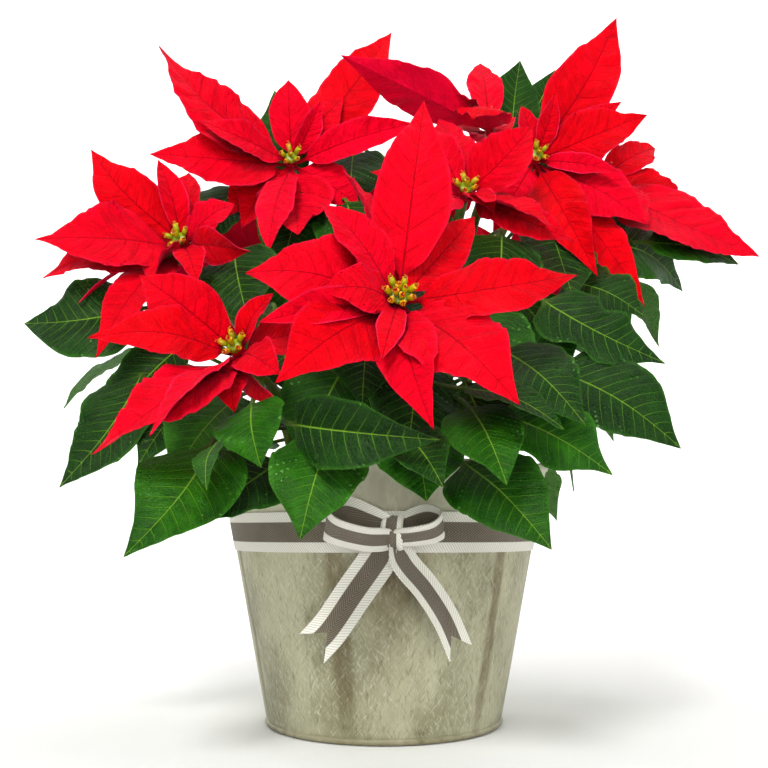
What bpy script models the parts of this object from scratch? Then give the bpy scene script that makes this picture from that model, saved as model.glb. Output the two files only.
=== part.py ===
"""A flowering poinsettia in its pot, with a striped ribbon and bow.

The front of the plant looks along -Y, +X is to its right and +Z is up. The origin is on the middle of
the pot's flat base. Sizes below are millimetres and degrees, and MM turns them into Blender's metres.
"""

import math
import random
from collections import namedtuple

import bmesh
import bpy
from mathutils import Matrix, Vector
from mathutils.bvhtree import BVHTree

MM = 0.001
GAP = 0.3  # between two pieces that touch

# The pot: a tapered sheet shell with a rolled foot and a rolled rim.
POT_HEIGHT = 138.0
POT_FOOT_RADIUS = 63.4
POT_FLARE = 0.2  # the radius grows this much for each millimetre of height
POT_WALL = 1.6
POT_FLOOR = 3.0
POT_BEAD = 1.6  # radius of the rolled foot and rim
POT_SIDES = 40

# The soil fills the pot to a little under its rim.
SOIL_TOP = 124.0
SOIL_CROWN = 3.0
SOIL_SIDES = 24
HOLE_DEPTH = 16.0
HOLE_SIDES = 8

# The ribbon: a flat band round the pot, and a bow of the same ribbon tied in front.
BAND_BOTTOM = 92.5
BAND_TOP = 112.5
RIBBON_THICK = 0.8
KNOT_CENTRE = Vector((4.0, -91.4, 102.5))
KNOT_SIZE = Vector((7.5, 4.6, 7.5))

# Stems, the red collar that carries the bracts, and the cluster of cups on it.
STEM_RADIUS = 3.2
STEM_STATIONS = 6
STEM_NECK = 3.0  # the last straight stretch, in line with the bloom
COLLAR_LENGTH = 8.0
COLLAR_RADIUS = 3.4
CUP_LENGTH = 3.4
CUP_RADIUS = 1.7
CUP_REACH = 4.4
CUP_SINK = 1.7  # the cups start this far below the top of their base
CUP_BASE = 3.0
FRONT_CUPS = ((6, 3.2, 36), (3, 1.2, 14))  # each ring: how many cups, its radius, and how far they lean
OTHER_CUPS = ((4, 2.1, 42), (1, 0.0, 0))
CUP_BASE_RIM = 1.7  # the base is this much wider than its outer ring

# Blades: a bract or a leaf is a thin closed blade with a rib down its middle.
RIB_THICK = 1.4
STALK_WIDTH = 2.4
BRACT_STALK = 0.11  # the share of a bract's reach that is its stalk
ROOT_SINK = 2.6  # a root starts this far behind the middle of what it grows from
CLEARANCE = 0.35
GIVE = 5.0  # a blade that would cross another node bends aside in steps this long
GIVE_STEPS = 9
OWN_GIVE_STEPS = 4  # it bends no further than this to miss a blade of its own bloom
ARCH_STEPS = (0.0, 5.0, -5.0)
FRONT_POINT = Vector((0, -560, 107))  # the front's blades bend along lines that spread from here

# An outline gives, from the end of the stalk to the tip, how far along each station is and its share
# of the full width.
BRACT_OUTLINE = ((0.14, 0.64), (0.36, 1.0), (0.61, 0.82), (0.84, 0.31))
SLIM_OUTLINE = ((0.24, 0.82), (0.52, 1.0), (0.80, 0.56))
LEAF_OUTLINE = ((0.09, 0.66), (0.32, 1.0), (0.58, 0.86), (0.82, 0.36))
LOBED_OUTLINE = ((0.09, 0.70), (0.26, 1.0), (0.43, 0.70), (0.58, 0.84), (0.84, 0.26))
STALK_START = 5.0  # a long stalk has its full thickness from this far along

Shoot = namedtuple("Shoot", "foot hub facing")
Blade = namedtuple("Blade", "node root base tip face give width turn arch fold twist wave sweep outline")

# Each flowering shoot: where its stem stands in the soil, where its bloom is, and where the bloom looks.
SHOOTS = {
    "front": Shoot((2, -36), (7, -120, 209), (0.05, -0.95, 0.30)),
    "low_left": Shoot((-33, -28), (-71, -95, 190), (-0.30, -0.85, 0.42)),
    "left": Shoot((-50, 2), (-113, -30, 262), (-0.20, -0.92, 0.32)),
    "top_left": Shoot((-24, 12), (-57, 20, 328), (0.00, -0.95, 0.30)),
    "top_right": Shoot((28, 2), (92, 10, 326), (0.10, -0.96, 0.25)),
    "middle": Shoot((16, -16), (46, -25, 293), (0.10, -0.88, 0.45)),
    "right": Shoot((50, -8), (134, 30, 322), (0.25, -0.88, 0.40)),
    "top": Shoot((14, 30), (67, 32, 357), (0.00, -0.50, 0.85)),
    "back_left": Shoot((-34, 40), (-88, 92, 262), (-0.50, 0.55, 0.67)),
    "back": Shoot((2, 56), (12, 112, 296), (0.00, 0.62, 0.78)),
    "back_right": Shoot((42, 40), (94, 110, 266), (0.52, 0.58, 0.62)),
}

# A bloom's bracts, each by its tip from the bloom's middle (right, back, up), then its width, turn
# about its own length, arch, fold along the rib, twist and edge wave. A last number, where there is one,
# is its sweep: how far the rib bows to one side.
BRACTS = {
    "front": (
        ((13, 25, 106), 38, 0, 5, 8, 0, 0),
        ((80, -10, 8), 36, -8, 10, 6, 0, 1.5, -8),
        ((48, -45, -55), 43, 0, 8, 10, 0, 1.5),
        ((13, -45, -65), 30, 25, 8, 10, 10, 1),
        ((-53, -30, -44), 41, 0, 9, 8, 0, 1.5),
        ((-70, -5, 10), 40, 5, 10, 8, -10, 2),
        ((-27, 25, 70), 34, 42, 4, 24, 20, 2),
        ((-34, -22, -2), 25, 0, 7, 5, 0, 1),
        ((-61, -26, -17), 20, -10, 5, 34, 0, 1),
        ((-12, 40, 53), 24, 0, 0, 8, 0, 0),
        ((-8, -30, -34), 13, 0, 4, 6, 0, 0),
        ((-36, -8, 42), 26, 20, 5, 20, 0, 1),
        ((38, 30, 48), 24, 10, 0, 8, 0, 0),
    ),
    "low_left": (
        ((-44, -15, 32), 31, -10, 8, 10, 0, 1.5, -1),
        ((-64, -25, 0), 30, 0, 9, 8, 0, 1.5),
        ((-51, -55, -55), 38, 0, 9, 8, 0, 2, 9),
        ((-28, -52, -47), 20, 15, 6, 12, 0, 1, 5),
        ((25, -35, -18), 22, 0, 5, 10, 0, 1),
        ((26, -32, -32), 13, 55, 4, 26, 0, 0),
        ((18, -4, 26), 16, 0, 4, 24, 0, 0),
        ((34, 4, 6), 26, 0, 5, 12, 0, 1),
        ((4, -26, -34), 20, 0, 5, 12, 0, 1),
    ),
    "left": (
        ((-70, -30, -8), 44, 0, 8, 8, 0, 1.5, 4),
        ((-65, -30, -29), 38, 10, 8, 8, 0, 1.5),
        ((-55, 10, 57), 32, 0, 5, 8, 10, 1.5, 4),
        ((-14, 0, 47), 18, 35, 4, 28, 0, 1),
        ((0, 18, 46), 26, -10, 4, 12, 0, 1),
        ((-31, -45, -74), 28, 0, 8, 10, 0, 1.5),
        ((-49, -20, -40), 10, 60, 4, 24, 0, 0),
        ((42, -20, -12), 22, 20, 6, 12, 70, 1),
        ((16, -30, -31), 18, -20, 5, 20, 0, 1),
        ((30, 0, 21), 24, 0, 5, 14, 0, 1),
        ((-7, -30, -31), 22, 30, 4, 26, 0, 1),
        ((-40, 52, 8), 30, 0, 8, 8, 0, 1.5),
        ((14, 40, 26), 28, 0, 8, 8, 0, 1.5),
    ),
    "top_left": (
        ((-78, -25, 62), 42, 10, 6, 10, 20, 2, 13),
        ((-80, -30, -8), 44, 0, 9, 12, 0, 1.5, 7),
        ((-54, -20, 17), 22, 0, 5, 14, 0, 1, 3),
        ((-3, 5, 54), 26, 0, 3, 8, 0, 0),
        ((18, -5, 36), 15, 40, 3, 26, 0, 0),
        ((32, 5, 43), 26, -10, 3, 10, 0, 0),
        ((62, 5, 86), 41, 0, 6, 6, 0, 2, -4),
        ((75, -20, 15), 24, 20, 6, 20, 0, 1),
        ((9, -48, -62), 48, 0, -5, 18, 0, 1),
        ((-9, -33, -68), 24, 15, 6, 12, 0, 1),
        ((-28, -14, -48), 34, 0, 6, 10, 0, 1),
        ((44, -4, -34), 30, 0, 5, 10, 0, 1),
        ((-42, 4, -36), 30, 0, 5, 10, 0, 1),
        ((-79, 40, 60), 14, 60, 4, 20, 0, 0, 8),
    ),
    "top_right": (
        ((54, 10, 95), 40, 0, 5, 8, 0, 2, -4),
        ((10, -10, 35), 15, 20, 3, 20, 0, 0),
        ((-10, -10, 28), 14, 0, 3, 20, 0, 0),
        ((64, -15, 20), 38, 0, 7, 8, 0, 1.5, -3),
        ((45, -20, -17), 14, 20, 4, 20, 0, 0),
        ((25, -45, -86), 32, 25, 7, 20, 0, 1.5),
        ((56, -24, -98), 32, 0, 6, 10, 0, 1),
        ((53, 0, 35), 18, 0, 3, 8, 0, 0),
        ((58, -30, -52), 44, 0, 6, 8, 0, 1.5),
        ((8, 6, -44), 30, 0, 5, 10, 0, 1),
        ((-28, -8, -50), 30, 0, 5, 10, 0, 1),
        ((-34, 6, 6), 26, 0, 5, 10, 0, 1),
    ),
    "middle": (
        ((38, -5, 36), 38, 0, 5, 16, 0, 1, -4),
        ((45, -35, -34), 30, -20, 6, 16, 0, 1, -6),
        ((55, -28, -38), 24, 10, 5, 10, 0, 1, -4),
        ((13, -25, -21), 17, 0, 4, 24, 0, 0),
        ((-26, -18, 30), 22, 0, 4, 12, 0, 1),
        ((-34, -34, -30), 24, 0, 6, 10, 0, 1),
        ((-54, 4, 12), 30, 0, 5, 10, 0, 1),
        ((-13, 25, 53), 30, 0, 5, 10, 0, 1),
    ),
    "right": (
        ((86, -30, -61), 56, 0, 4, 8, 0, 2, -8),
        ((62, 18, -20), 34, 0, 9, 8, 0, 1.5),
        ((34, 62, 2), 34, 0, 9, 8, 0, 1.5),
        ((-16, 56, 26), 30, 0, 8, 8, 0, 1.5),
        ((44, 28, 28), 24, 0, 5, 10, 0, 1),
        ((20, -36, -44), 28, 0, 5, 10, 0, 1),
    ),
    "top": (
        ((-94, -18, 36), 34, 68, 1, 12, 0, 2),
        ((-14, -32, -12), 38, 0, 11, -10, 0, 1.5),
        ((-36, -8, 12), 30, 20, 7, 10, 0, 1.5),
        ((-2, 38, 58), 24, 0, 4, 8, 0, 0),
        ((-48, 46, 0), 32, 0, 8, 8, 0, 1.5),
        ((8, 68, 2), 34, 0, 8, 8, 0, 1.5),
        ((44, 52, 12), 30, 0, 7, 8, 0, 1.5),
    ),
}

# The blooms that look away from the front follow one rule: outer and inner bracts round the bloom.
FAR_BLOOMS = ("back_left", "back", "back_right")
FAR_OUTER = 6
FAR_INNER = 4
FAR_SEED = 12

# A leaf by its shoot, how far up the stem it grows, where its stalk ends and its blade ends (right,
# back, up) from the pot's base, then width, turn, arch, fold, twist, wave, whether it is lobed, and its
# sweep where it has one.
LEAVES = (
    ("low_left", 0.78, (-40, -128, 150), (23, -166, 140), 34, 30, 8, 24, 20, 2, False),
    ("low_left", 0.42, (-80, -108, 142), (-107, -150, 93), 48, 0, 6, 6, 0, 2, False, 7),
    ("front", 0.35, (-24, -125, 144), (-34, -157, 100), 42, 0, 6, 6, 0, 2, False),
    ("front", 0.30, (36, -112, 134), (69, -150, 96), 44, 0, 6, 6, 0, 2, False),
    ("front", 0.26, (14, -116, 142), (18, -140, 116), 42, 0, 5, 8, 0, 2, False),
    ("front", 0.42, (8, -134, 144), (24, -162, 121), 28, -10, 5, 12, 20, 2, False),
    ("front", 0.50, (38, -124, 158), (50, -158, 122), 36, 0, 5, 8, 0, 1, False),
    ("front", 0.62, (36, -126, 166), (76, -146, 146), 26, -30, 5, 14, 0, 1, False),
    ("low_left", 0.40, (-73, -130, 141), (-72, -158, 120), 14, 20, 4, 8, 0, 0, False),
    ("low_left", 0.60, (-60, -116, 160), (-52, -142, 130), 34, 10, 5, 10, 0, 1, False),
    ("low_left", 0.30, (-48, -98, 136), (-86, -122, 107), 38, 10, 5, 8, 0, 1, False, 4),
    ("left", 0.45, (-130, -38, 222), (-190, -50, 211), 52, 0, 5, 8, 0, 1.5, False, 6),
    ("left", 0.30, (-126, -52, 184), (-161, -70, 124), 42, 0, 7, 8, 0, 1.5, False, 9),
    ("left", 0.38, (-108, -44, 200), (-142, -62, 150), 38, 0, 5, 8, 0, 1, False),
    ("left", 0.80, (-150, 16, 292), (-170, 22, 306), 18, 0, 2, 8, 0, 0, False),
    ("middle", 0.42, (84, -48, 224), (145, -60, 188), 44, 0, 6, 8, 0, 1.5, True, -7),
    ("middle", 0.28, (86, -66, 184), (142, -90, 142), 52, 0, 7, 8, 0, 1.5, False),
    ("front", 0.72, (56, -100, 188), (88, -132, 149), 38, 0, 6, 8, 0, 1.5, False),
    ("middle", 0.18, (54, -98, 158), (102, -120, 128), 44, 0, 6, 8, 0, 1.5, True),
    ("right", 0.66, (156, 8, 272), (211, 10, 259), 30, 0, 5, 14, 0, 1.5, False),
    ("right", 0.52, (126, -2, 268), (174, 0, 240), 48, 0, 5, 8, 0, 1.5, False, 8),
    ("right", 0.36, (102, -14, 242), (145, -24, 220), 44, 0, 6, 8, 0, 1.5, True),
    ("top", 0.72, (88, 92, 366), (96, 96, 430), 38, 0, 3, 10, 0, 1, False, 2),
    ("top", 0.76, (98, 96, 376), (121, 98, 424), 24, 0, 3, 10, 0, 1, False),
    ("top_left", 0.84, (-60, 46, 318), (-71, 46, 385), 38, 0, 3, 10, 0, 0, False),
    ("left", 0.72, (-84, -24, 258), (-70, -52, 208), 46, 0, 5, 8, 0, 1.5, False),
    ("top_left", 0.50, (-62, 0, 266), (-46, -26, 214), 48, 0, 5, 8, 0, 1.5, False),
    ("top_left", 0.62, (-22, 6, 296), (-10, -16, 242), 48, 0, 5, 8, 0, 1.5, False),
    ("top_left", 0.40, (-34, -14, 226), (-14, -40, 172), 48, 0, 5, 8, 0, 1.5, False),
    ("top", 0.50, (22, 14, 312), (10, -4, 254), 46, 0, 5, 8, 0, 1.5, False),
    ("middle", 0.66, (64, -40, 262), (56, -66, 208), 44, 0, 5, 8, 0, 1.5, False),
    ("top_right", 0.60, (94, -6, 286), (106, -22, 230), 48, 0, 5, 8, 0, 1.5, False),
    ("right", 0.44, (118, 10, 254), (132, 2, 198), 46, 0, 5, 8, 0, 1.5, False),
    ("middle", 0.36, (44, -66, 212), (64, -94, 166), 46, 0, 5, 8, 0, 1.5, False),
    ("low_left", 0.45, (-72, -72, 170), (-98, -106, 126), 46, 0, 6, 8, 0, 1.5, False),
    ("left", 0.24, (-88, -50, 184), (-120, -80, 134), 46, 0, 6, 8, 0, 1.5, False),
    ("top_right", 0.30, (84, -34, 194), (106, -50, 150), 46, 0, 6, 8, 0, 1.5, False),
    ("front", 0.60, (-20, -92, 180), (-36, -118, 134), 46, 0, 6, 8, 0, 1.5, False),
    ("front", 0.68, (16, -98, 180), (10, -122, 132), 44, 0, 6, 8, 0, 1.5, False),
    ("middle", 0.22, (40, -76, 176), (52, -104, 126), 44, 0, 6, 8, 0, 1.5, False),
    ("left", 0.50, (-58, -46, 220), (-44, -78, 168), 46, 0, 6, 8, 0, 1.5, False),
    ("middle", 0.50, (18, -56, 240), (24, -84, 186), 44, 0, 6, 8, 0, 1.5, False),
    ("top_left", 0.70, (-92, 40, 318), (-112, 16, 268), 48, 0, 5, 8, 0, 1.5, False),
    ("top", 0.70, (-20, 56, 346), (-20, 34, 294), 48, 0, 5, 8, 0, 1.5, False),
    ("middle", 0.60, (74, -22, 232), (98, -42, 184), 46, 0, 5, 8, 0, 1.5, False),
    ("top_left", 0.56, (-50, 8, 300), (-58, -14, 250), 46, 0, 5, 8, 0, 1.5, False),
    ("front", 0.74, (-8, -92, 196), (-10, -112, 160), 40, 0, 5, 8, 0, 1.5, False),
    ("left", 0.86, (-108, 4, 258), (-134, 8, 310), 40, 0, 3, 8, 0, 1, False),
    ("top_right", 0.86, (96, 40, 318), (86, 48, 372), 40, 0, 3, 8, 0, 1, False),
)

# The leaves that hang round the sides and the back, by a rule: the compass angle of the tip, how far
# out and how high it ends. Each grows from the nearest of these stems.
SKIRT = (
    ("middle", 0.24, 350, 118, 138), ("right", 0.22, 6, 128, 142),
    ("right", 0.30, 24, 160, 158), ("back_right", 0.16, 36, 138, 108),
    ("back_right", 0.34, 52, 182, 150), ("back_right", 0.10, 62, 150, 100),
    ("back", 0.12, 78, 164, 108), ("back", 0.26, 92, 182, 152),
    ("back", 0.18, 106, 166, 112), ("back_left", 0.14, 122, 156, 104),
    ("back_left", 0.32, 138, 184, 150), ("back_left", 0.22, 152, 136, 118),
    ("left", 0.22, 170, 134, 126), ("left", 0.34, 184, 180, 170),
    ("back", 0.52, 78, 176, 214), ("back_left", 0.60, 150, 178, 206),
    ("back_right", 0.62, 34, 180, 206), ("top_left", 0.55, 128, 150, 286),
    ("top", 0.60, 72, 142, 296), ("right", 0.50, 16, 180, 216),
    ("back", 0.70, 104, 168, 232),
)
SKIRT_SEED = 5


def clear_scene():
    """An empty scene, whatever it held before."""
    for obj in list(bpy.data.objects):
        bpy.data.objects.remove(obj, do_unlink=True)


def new_collection(name):
    collection = bpy.data.collections.new(name)
    bpy.context.scene.collection.children.link(collection)
    return collection


def finish(name, colour, roughness, metallic=0.0):
    """One plain surface finish, as a material."""
    material = bpy.data.materials.new(name)
    material.use_nodes = True
    shader = material.node_tree.nodes["Principled BSDF"]
    shader.inputs["Base Color"].default_value = (*colour, 1.0)
    shader.inputs["Roughness"].default_value = roughness
    shader.inputs["Metallic"].default_value = metallic
    material.diffuse_color = (*colour, 1.0)
    return material


def add_object(name, mesh, collection, material=None):
    obj = bpy.data.objects.new(name, mesh)
    collection.objects.link(obj)
    if material:
        obj.data.materials.append(material)
    return obj


def mesh_of(shape, name):
    """The bmesh as a mesh in metres, and the bmesh is let go."""
    bmesh.ops.scale(shape, vec=(MM, MM, MM), verts=shape.verts)
    mesh = bpy.data.meshes.new(name)
    shape.to_mesh(mesh)
    shape.free()
    return mesh


def smooth(obj, sharp=40):
    """Round pieces are shaded smooth, with edges sharper than this left crisp."""
    obj.data.shade_smooth()
    obj.data.set_sharp_from_angle(angle=math.radians(sharp))


# Turned pieces

def turned(name, profile, closed, sides, collection, material):
    """A profile of (radius, height) points swept once round the Z axis."""
    shape = bmesh.new()
    points = [shape.verts.new((radius, 0, height)) for radius, height in profile]
    for first, second in zip(points, points[1:]):
        shape.edges.new((first, second))
    if closed:
        shape.edges.new((points[-1], points[0]))
    obj = add_object(name, mesh_of(shape, name), collection, material)
    screw = obj.modifiers.new("Turn", "SCREW")
    screw.steps = sides
    screw.render_steps = sides
    screw.use_merge_vertices = True
    screw.merge_threshold = 1e-5
    return obj


def pot_radius(height):
    return POT_FOOT_RADIUS + POT_FLARE * height


def bead(radius, height, start, stop, steps):
    """Points on a rolled bead about (radius, height), from one angle to another."""
    angles = [math.radians(start + (stop - start) * k / steps) for k in range(steps + 1)]
    return [(radius + POT_BEAD * math.cos(a), height + POT_BEAD * math.sin(a)) for a in angles]


def make_pot(collection, material):
    rim = POT_HEIGHT - POT_BEAD
    inside = [(0, POT_FLOOR), (pot_radius(POT_FLOOR) - POT_WALL, POT_FLOOR)]
    inside.append((pot_radius(rim) - POT_WALL, rim))
    rolled_rim = bead(pot_radius(rim) - 0.4, rim, 150, -85, steps=5)
    foot = bead(POT_FOOT_RADIUS - 0.4, POT_BEAD, 60, -90, steps=3)
    profile = inside + rolled_rim + foot + [(0, 0)]
    return turned("pot", profile, False, POT_SIDES, collection, material)


def make_soil(collection, material, holes):
    edge = SOIL_TOP - SOIL_CROWN
    floor = POT_FLOOR + GAP
    side = POT_WALL + GAP + 0.2
    profile = [(0, SOIL_TOP), (pot_radius(edge) * 0.55, SOIL_TOP - 1), (pot_radius(edge) - side, edge)]
    profile += [(pot_radius(floor) - side, floor), (0, floor)]
    soil = turned("soil", profile, False, SOIL_SIDES, collection, material)
    cut = soil.modifiers.new("Holes", "BOOLEAN")
    cut.operation = "DIFFERENCE"
    cut.operand_type = "COLLECTION"
    cut.collection = holes
    return soil


def make_hole(name, foot, holes):
    """A plain round hole in the soil for one stem."""
    shape = bmesh.new()
    radius = (STEM_RADIUS + GAP) / math.cos(math.pi / HOLE_SIDES) + 0.2
    bmesh.ops.create_cone(
        shape, cap_ends=True, segments=HOLE_SIDES, radius1=radius, radius2=radius, depth=2 * HOLE_DEPTH
    )
    bmesh.ops.translate(shape, vec=(foot[0], foot[1], SOIL_TOP), verts=shape.verts)
    cutter = add_object(f"{name}_hole", mesh_of(shape, f"{name}_hole"), holes)
    cutter.hide_render = True
    cutter.display_type = "WIRE"


# Ribbon

def make_band(collection, material):
    def ring(height, out):
        return (pot_radius(height) + GAP + out, height)

    profile = [ring(BAND_TOP, RIBBON_THICK), ring(BAND_BOTTOM, RIBBON_THICK)]
    profile += [ring(BAND_BOTTOM, 0), ring(BAND_TOP, 0)]
    return turned("ribbon_band", profile, True, POT_SIDES, collection, material)


def strip(path, widths, across, notch=0.0):
    """A flat ribbon along a path, a grid with three points across it, as an open sheet."""
    shape = bmesh.new()
    rows = len(path)
    bmesh.ops.create_grid(shape, x_segments=rows - 1, y_segments=2, size=1.0)
    for vert in shape.verts:
        row = round((vert.co.x + 1) / 2 * (rows - 1))
        side = vert.co.y
        ahead = path[min(row + 1, rows - 1)] - path[max(row - 1, 0)]
        place = path[row] + across[row].normalized() * side * widths[row] / 2
        if row == rows - 1:
            place = place - ahead.normalized() * notch * (1 - abs(side))
        vert.co = place
    return shape


def smooth_path(points, steps):
    """Points along one smooth curve through the given points (Catmull-Rom)."""
    points = [Vector(p) for p in points]
    padded = [2 * points[0] - points[1]] + points + [2 * points[-1] - points[-2]]
    path = []
    for k in range(len(points) - 1):
        before, start, end, after = padded[k : k + 4]
        for step in range(steps):
            t = step / steps
            path.append(
                0.5 * (2 * start + (end - before) * t + (2 * before - 5 * start + 4 * end - after) * t**2
                       + (3 * start - before - 3 * end + after) * t**3)
            )
    return path + [points[-1]]


# Each loop leaves the knot, swings out and comes back to it. A row is a point on its middle and the way
# across the ribbon there: the strand behind leans back at its top, and the one in front lies open to the
# sky. Each tail falls from the knot.
LEFT_LOOP = (
    ((0, 1, 1), (0.35, 0, 0.94)), ((-12, 1.6, 5), (0.42, 0, 0.91)), ((-24, 0.4, 8.5), (0.42, -0.1, 0.90)),
    ((-31, -4, 5), (0.15, -0.5, 0.85)), ((-26, -8.5, 0.5), (0, -0.72, 0.69)),
    ((-12, -8, -3), (0, -0.72, 0.69)), ((0, -3, -3), (0, -0.5, 0.87)),
)
RIGHT_LOOP = (
    ((0, 1, 1), (-0.3, 0, 0.95)), ((9, 1.6, 4.5), (-0.35, 0, 0.94)), ((18, 0.4, 6.5), (-0.35, -0.1, 0.93)),
    ((23.5, -3.5, 4), (-0.1, -0.5, 0.86)), ((19, -7, 0), (0, -0.72, 0.69)),
    ((9, -6.8, -2), (0, -0.72, 0.69)), ((0, -3, -2.5), (0, -0.5, 0.87)),
)
LEFT_TAIL = ((-1, 1, -3), (-8, 0, -14), (-18, 2, -28), (-29, 5, -44), (-38, 7, -54))
RIGHT_TAIL = ((1, -1, -3), (6, -2, -14), (16, 1, -26), (25, 4, -40), (32, 6, -56))
BOW_LOOPS = {"left": (LEFT_LOOP, 19.0), "right": (RIGHT_LOOP, 15.0)}  # with the ribbon's width
BOW_TAILS = {"left": (LEFT_TAIL, 19.0, 24), "right": (RIGHT_TAIL, 17.0, -42)}  # and how far it leans


def bow_loop(rows, width):
    path = smooth_path([KNOT_CENTRE + Vector(place) for place, _ in rows], 2)
    across = smooth_path([way for _, way in rows], 2)
    last = len(path) - 1
    widths = [width * (0.45 + 0.55 * math.sin(math.pi * k / last) ** 0.5) for k in range(last + 1)]
    return strip(path, widths, across)


def bow_tail(points, width, lean):
    path = smooth_path([KNOT_CENTRE + Vector(p) for p in points], 2)
    last = len(path) - 1
    widths = [width * min(1.0, 0.5 + 0.2 * k) for k in range(last + 1)]
    across = []
    for k in range(last + 1):
        ahead = path[min(k + 1, last)] - path[max(k - 1, 0)]
        flat = ahead.cross(Vector((0, 1, 0))).normalized()
        across.append(Matrix.Rotation(math.radians(lean), 3, ahead) @ flat)
    return strip(path, widths, across, notch=width * 0.55)


def thickened(name, sheet, collection):
    """An open sheet given the ribbon's thickness by Solidify, as one plain mesh."""
    obj = add_object(name, mesh_of(sheet, name), collection)
    solidify = obj.modifiers.new("Thickness", "SOLIDIFY")
    solidify.thickness = RIBBON_THICK * MM
    solidify.offset = 0
    return applied(obj)


def make_bow(collection, material):
    workshop = new_collection("bow_sheets")
    knot = bmesh.new()
    bmesh.ops.create_uvsphere(knot, u_segments=10, v_segments=6, radius=1)
    bmesh.ops.scale(knot, vec=KNOT_SIZE, verts=knot.verts)
    bmesh.ops.translate(knot, vec=KNOT_CENTRE, verts=knot.verts)
    pieces = []
    for side, (rows, width) in BOW_LOOPS.items():
        pieces.append(thickened(f"loop_{side}", bow_loop(rows, width), workshop))
    for side, (points, width, lean) in BOW_TAILS.items():
        pieces.append(thickened(f"tail_{side}", bow_tail(points, width, lean), workshop))
    bow = joined("ribbon_bow", pieces, [knot], collection, material)
    bpy.data.collections.remove(workshop)
    return bow


# Joining

def applied(obj):
    """The object with its modifiers made part of its mesh."""
    graph = bpy.context.evaluated_depsgraph_get()
    mesh = bpy.data.meshes.new_from_object(obj.evaluated_get(graph))
    obj.modifiers.clear()
    obj.data = mesh
    return obj


def joined(name, objects, shapes, collection, material):
    """One Boolean union of objects and bmeshes, made in a collection of its own that is then removed."""
    workshop = new_collection(f"{name}_pieces")
    pieces = objects + [add_object("piece", mesh_of(shape, "piece"), workshop) for shape in shapes]
    body = add_object(name, pieces[0].data, collection, material)
    bpy.data.objects.remove(pieces.pop(0), do_unlink=True)
    for piece in pieces:
        if piece.name not in workshop.objects:
            workshop.objects.link(piece)
    if pieces:
        union = body.modifiers.new("Join", "BOOLEAN")
        union.operation = "UNION"
        union.operand_type = "COLLECTION"
        union.collection = workshop
        union.solver = "MANIFOLD"
        bpy.context.view_layer.update()
        applied(body)
    body.data.name = name
    body.data.materials.clear()
    body.data.materials.append(material)
    for piece in pieces:
        bpy.data.objects.remove(piece, do_unlink=True)
    bpy.data.collections.remove(workshop)
    return body


# Stems

def stem_path(shoot):
    """Up out of the soil, over on one cubic curve, then straight into the back of the bloom."""
    foot = Vector((*shoot.foot, SOIL_TOP - HOLE_DEPTH + GAP + 0.2))
    start = Vector((*shoot.foot, SOIL_TOP))
    facing = Vector(shoot.facing).normalized()
    end = Vector(shoot.hub) - facing * (COLLAR_LENGTH + GAP)
    neck = end - facing * STEM_NECK
    reach = (neck - start).length
    up = start + Vector((0, 0, 0.40 * reach))
    back = neck - facing * 0.30 * reach
    path = [foot]
    for k in range(STEM_STATIONS):
        t = k / (STEM_STATIONS - 1)
        ends = start * (1 - t) ** 3 + neck * t**3
        path.append(ends + up * 3 * t * (1 - t) ** 2 + back * 3 * t**2 * (1 - t))
    return path + [end]


def on_stem(shoot, share):
    """The point this share of the way up a stem, from the soil to its neck."""
    path = stem_path(shoot)[1:-1]
    place = share * (len(path) - 1)
    k = min(int(place), len(path) - 2)
    return path[k].lerp(path[k + 1], place - k)


def make_stem(name, shoot, collection):
    """A tube along the stem's path, turned into a closed mesh."""
    curve = bpy.data.curves.new(name, "CURVE")
    curve.dimensions = "3D"
    curve.bevel_depth = STEM_RADIUS * MM
    curve.bevel_resolution = 1
    curve.use_fill_caps = True
    path = stem_path(shoot)
    spline = curve.splines.new("POLY")
    spline.points.add(len(path) - 1)
    for point, place in zip(spline.points, path):
        point.co = (*(place * MM), 1)
    tube = bpy.data.objects.new(name, curve)
    collection.objects.link(tube)
    graph = bpy.context.evaluated_depsgraph_get()
    mesh = bpy.data.meshes.new_from_object(tube.evaluated_get(graph))
    bpy.data.objects.remove(tube)
    closed = bmesh.new()
    closed.from_mesh(mesh)
    bmesh.ops.remove_doubles(closed, verts=closed.verts, dist=1e-5)
    closed.to_mesh(mesh)
    closed.free()
    return add_object(name, mesh, collection)


# Blooms: the collar and the cups

def bloom_frame(shoot):
    """The bloom's own frame: its middle, with +Z along the way it faces."""
    return Matrix.Translation(shoot.hub) @ Vector(shoot.facing).to_track_quat("Z", "Y").to_matrix().to_4x4()


def collar_shape(shoot):
    shape = bmesh.new()
    place = bloom_frame(shoot) @ Matrix.Translation((0, 0, -COLLAR_LENGTH / 2))
    bmesh.ops.create_cone(
        shape, cap_ends=True, segments=8, radius1=COLLAR_RADIUS - 0.4, radius2=COLLAR_RADIUS,
        depth=COLLAR_LENGTH, matrix=place,
    )
    return shape


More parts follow.
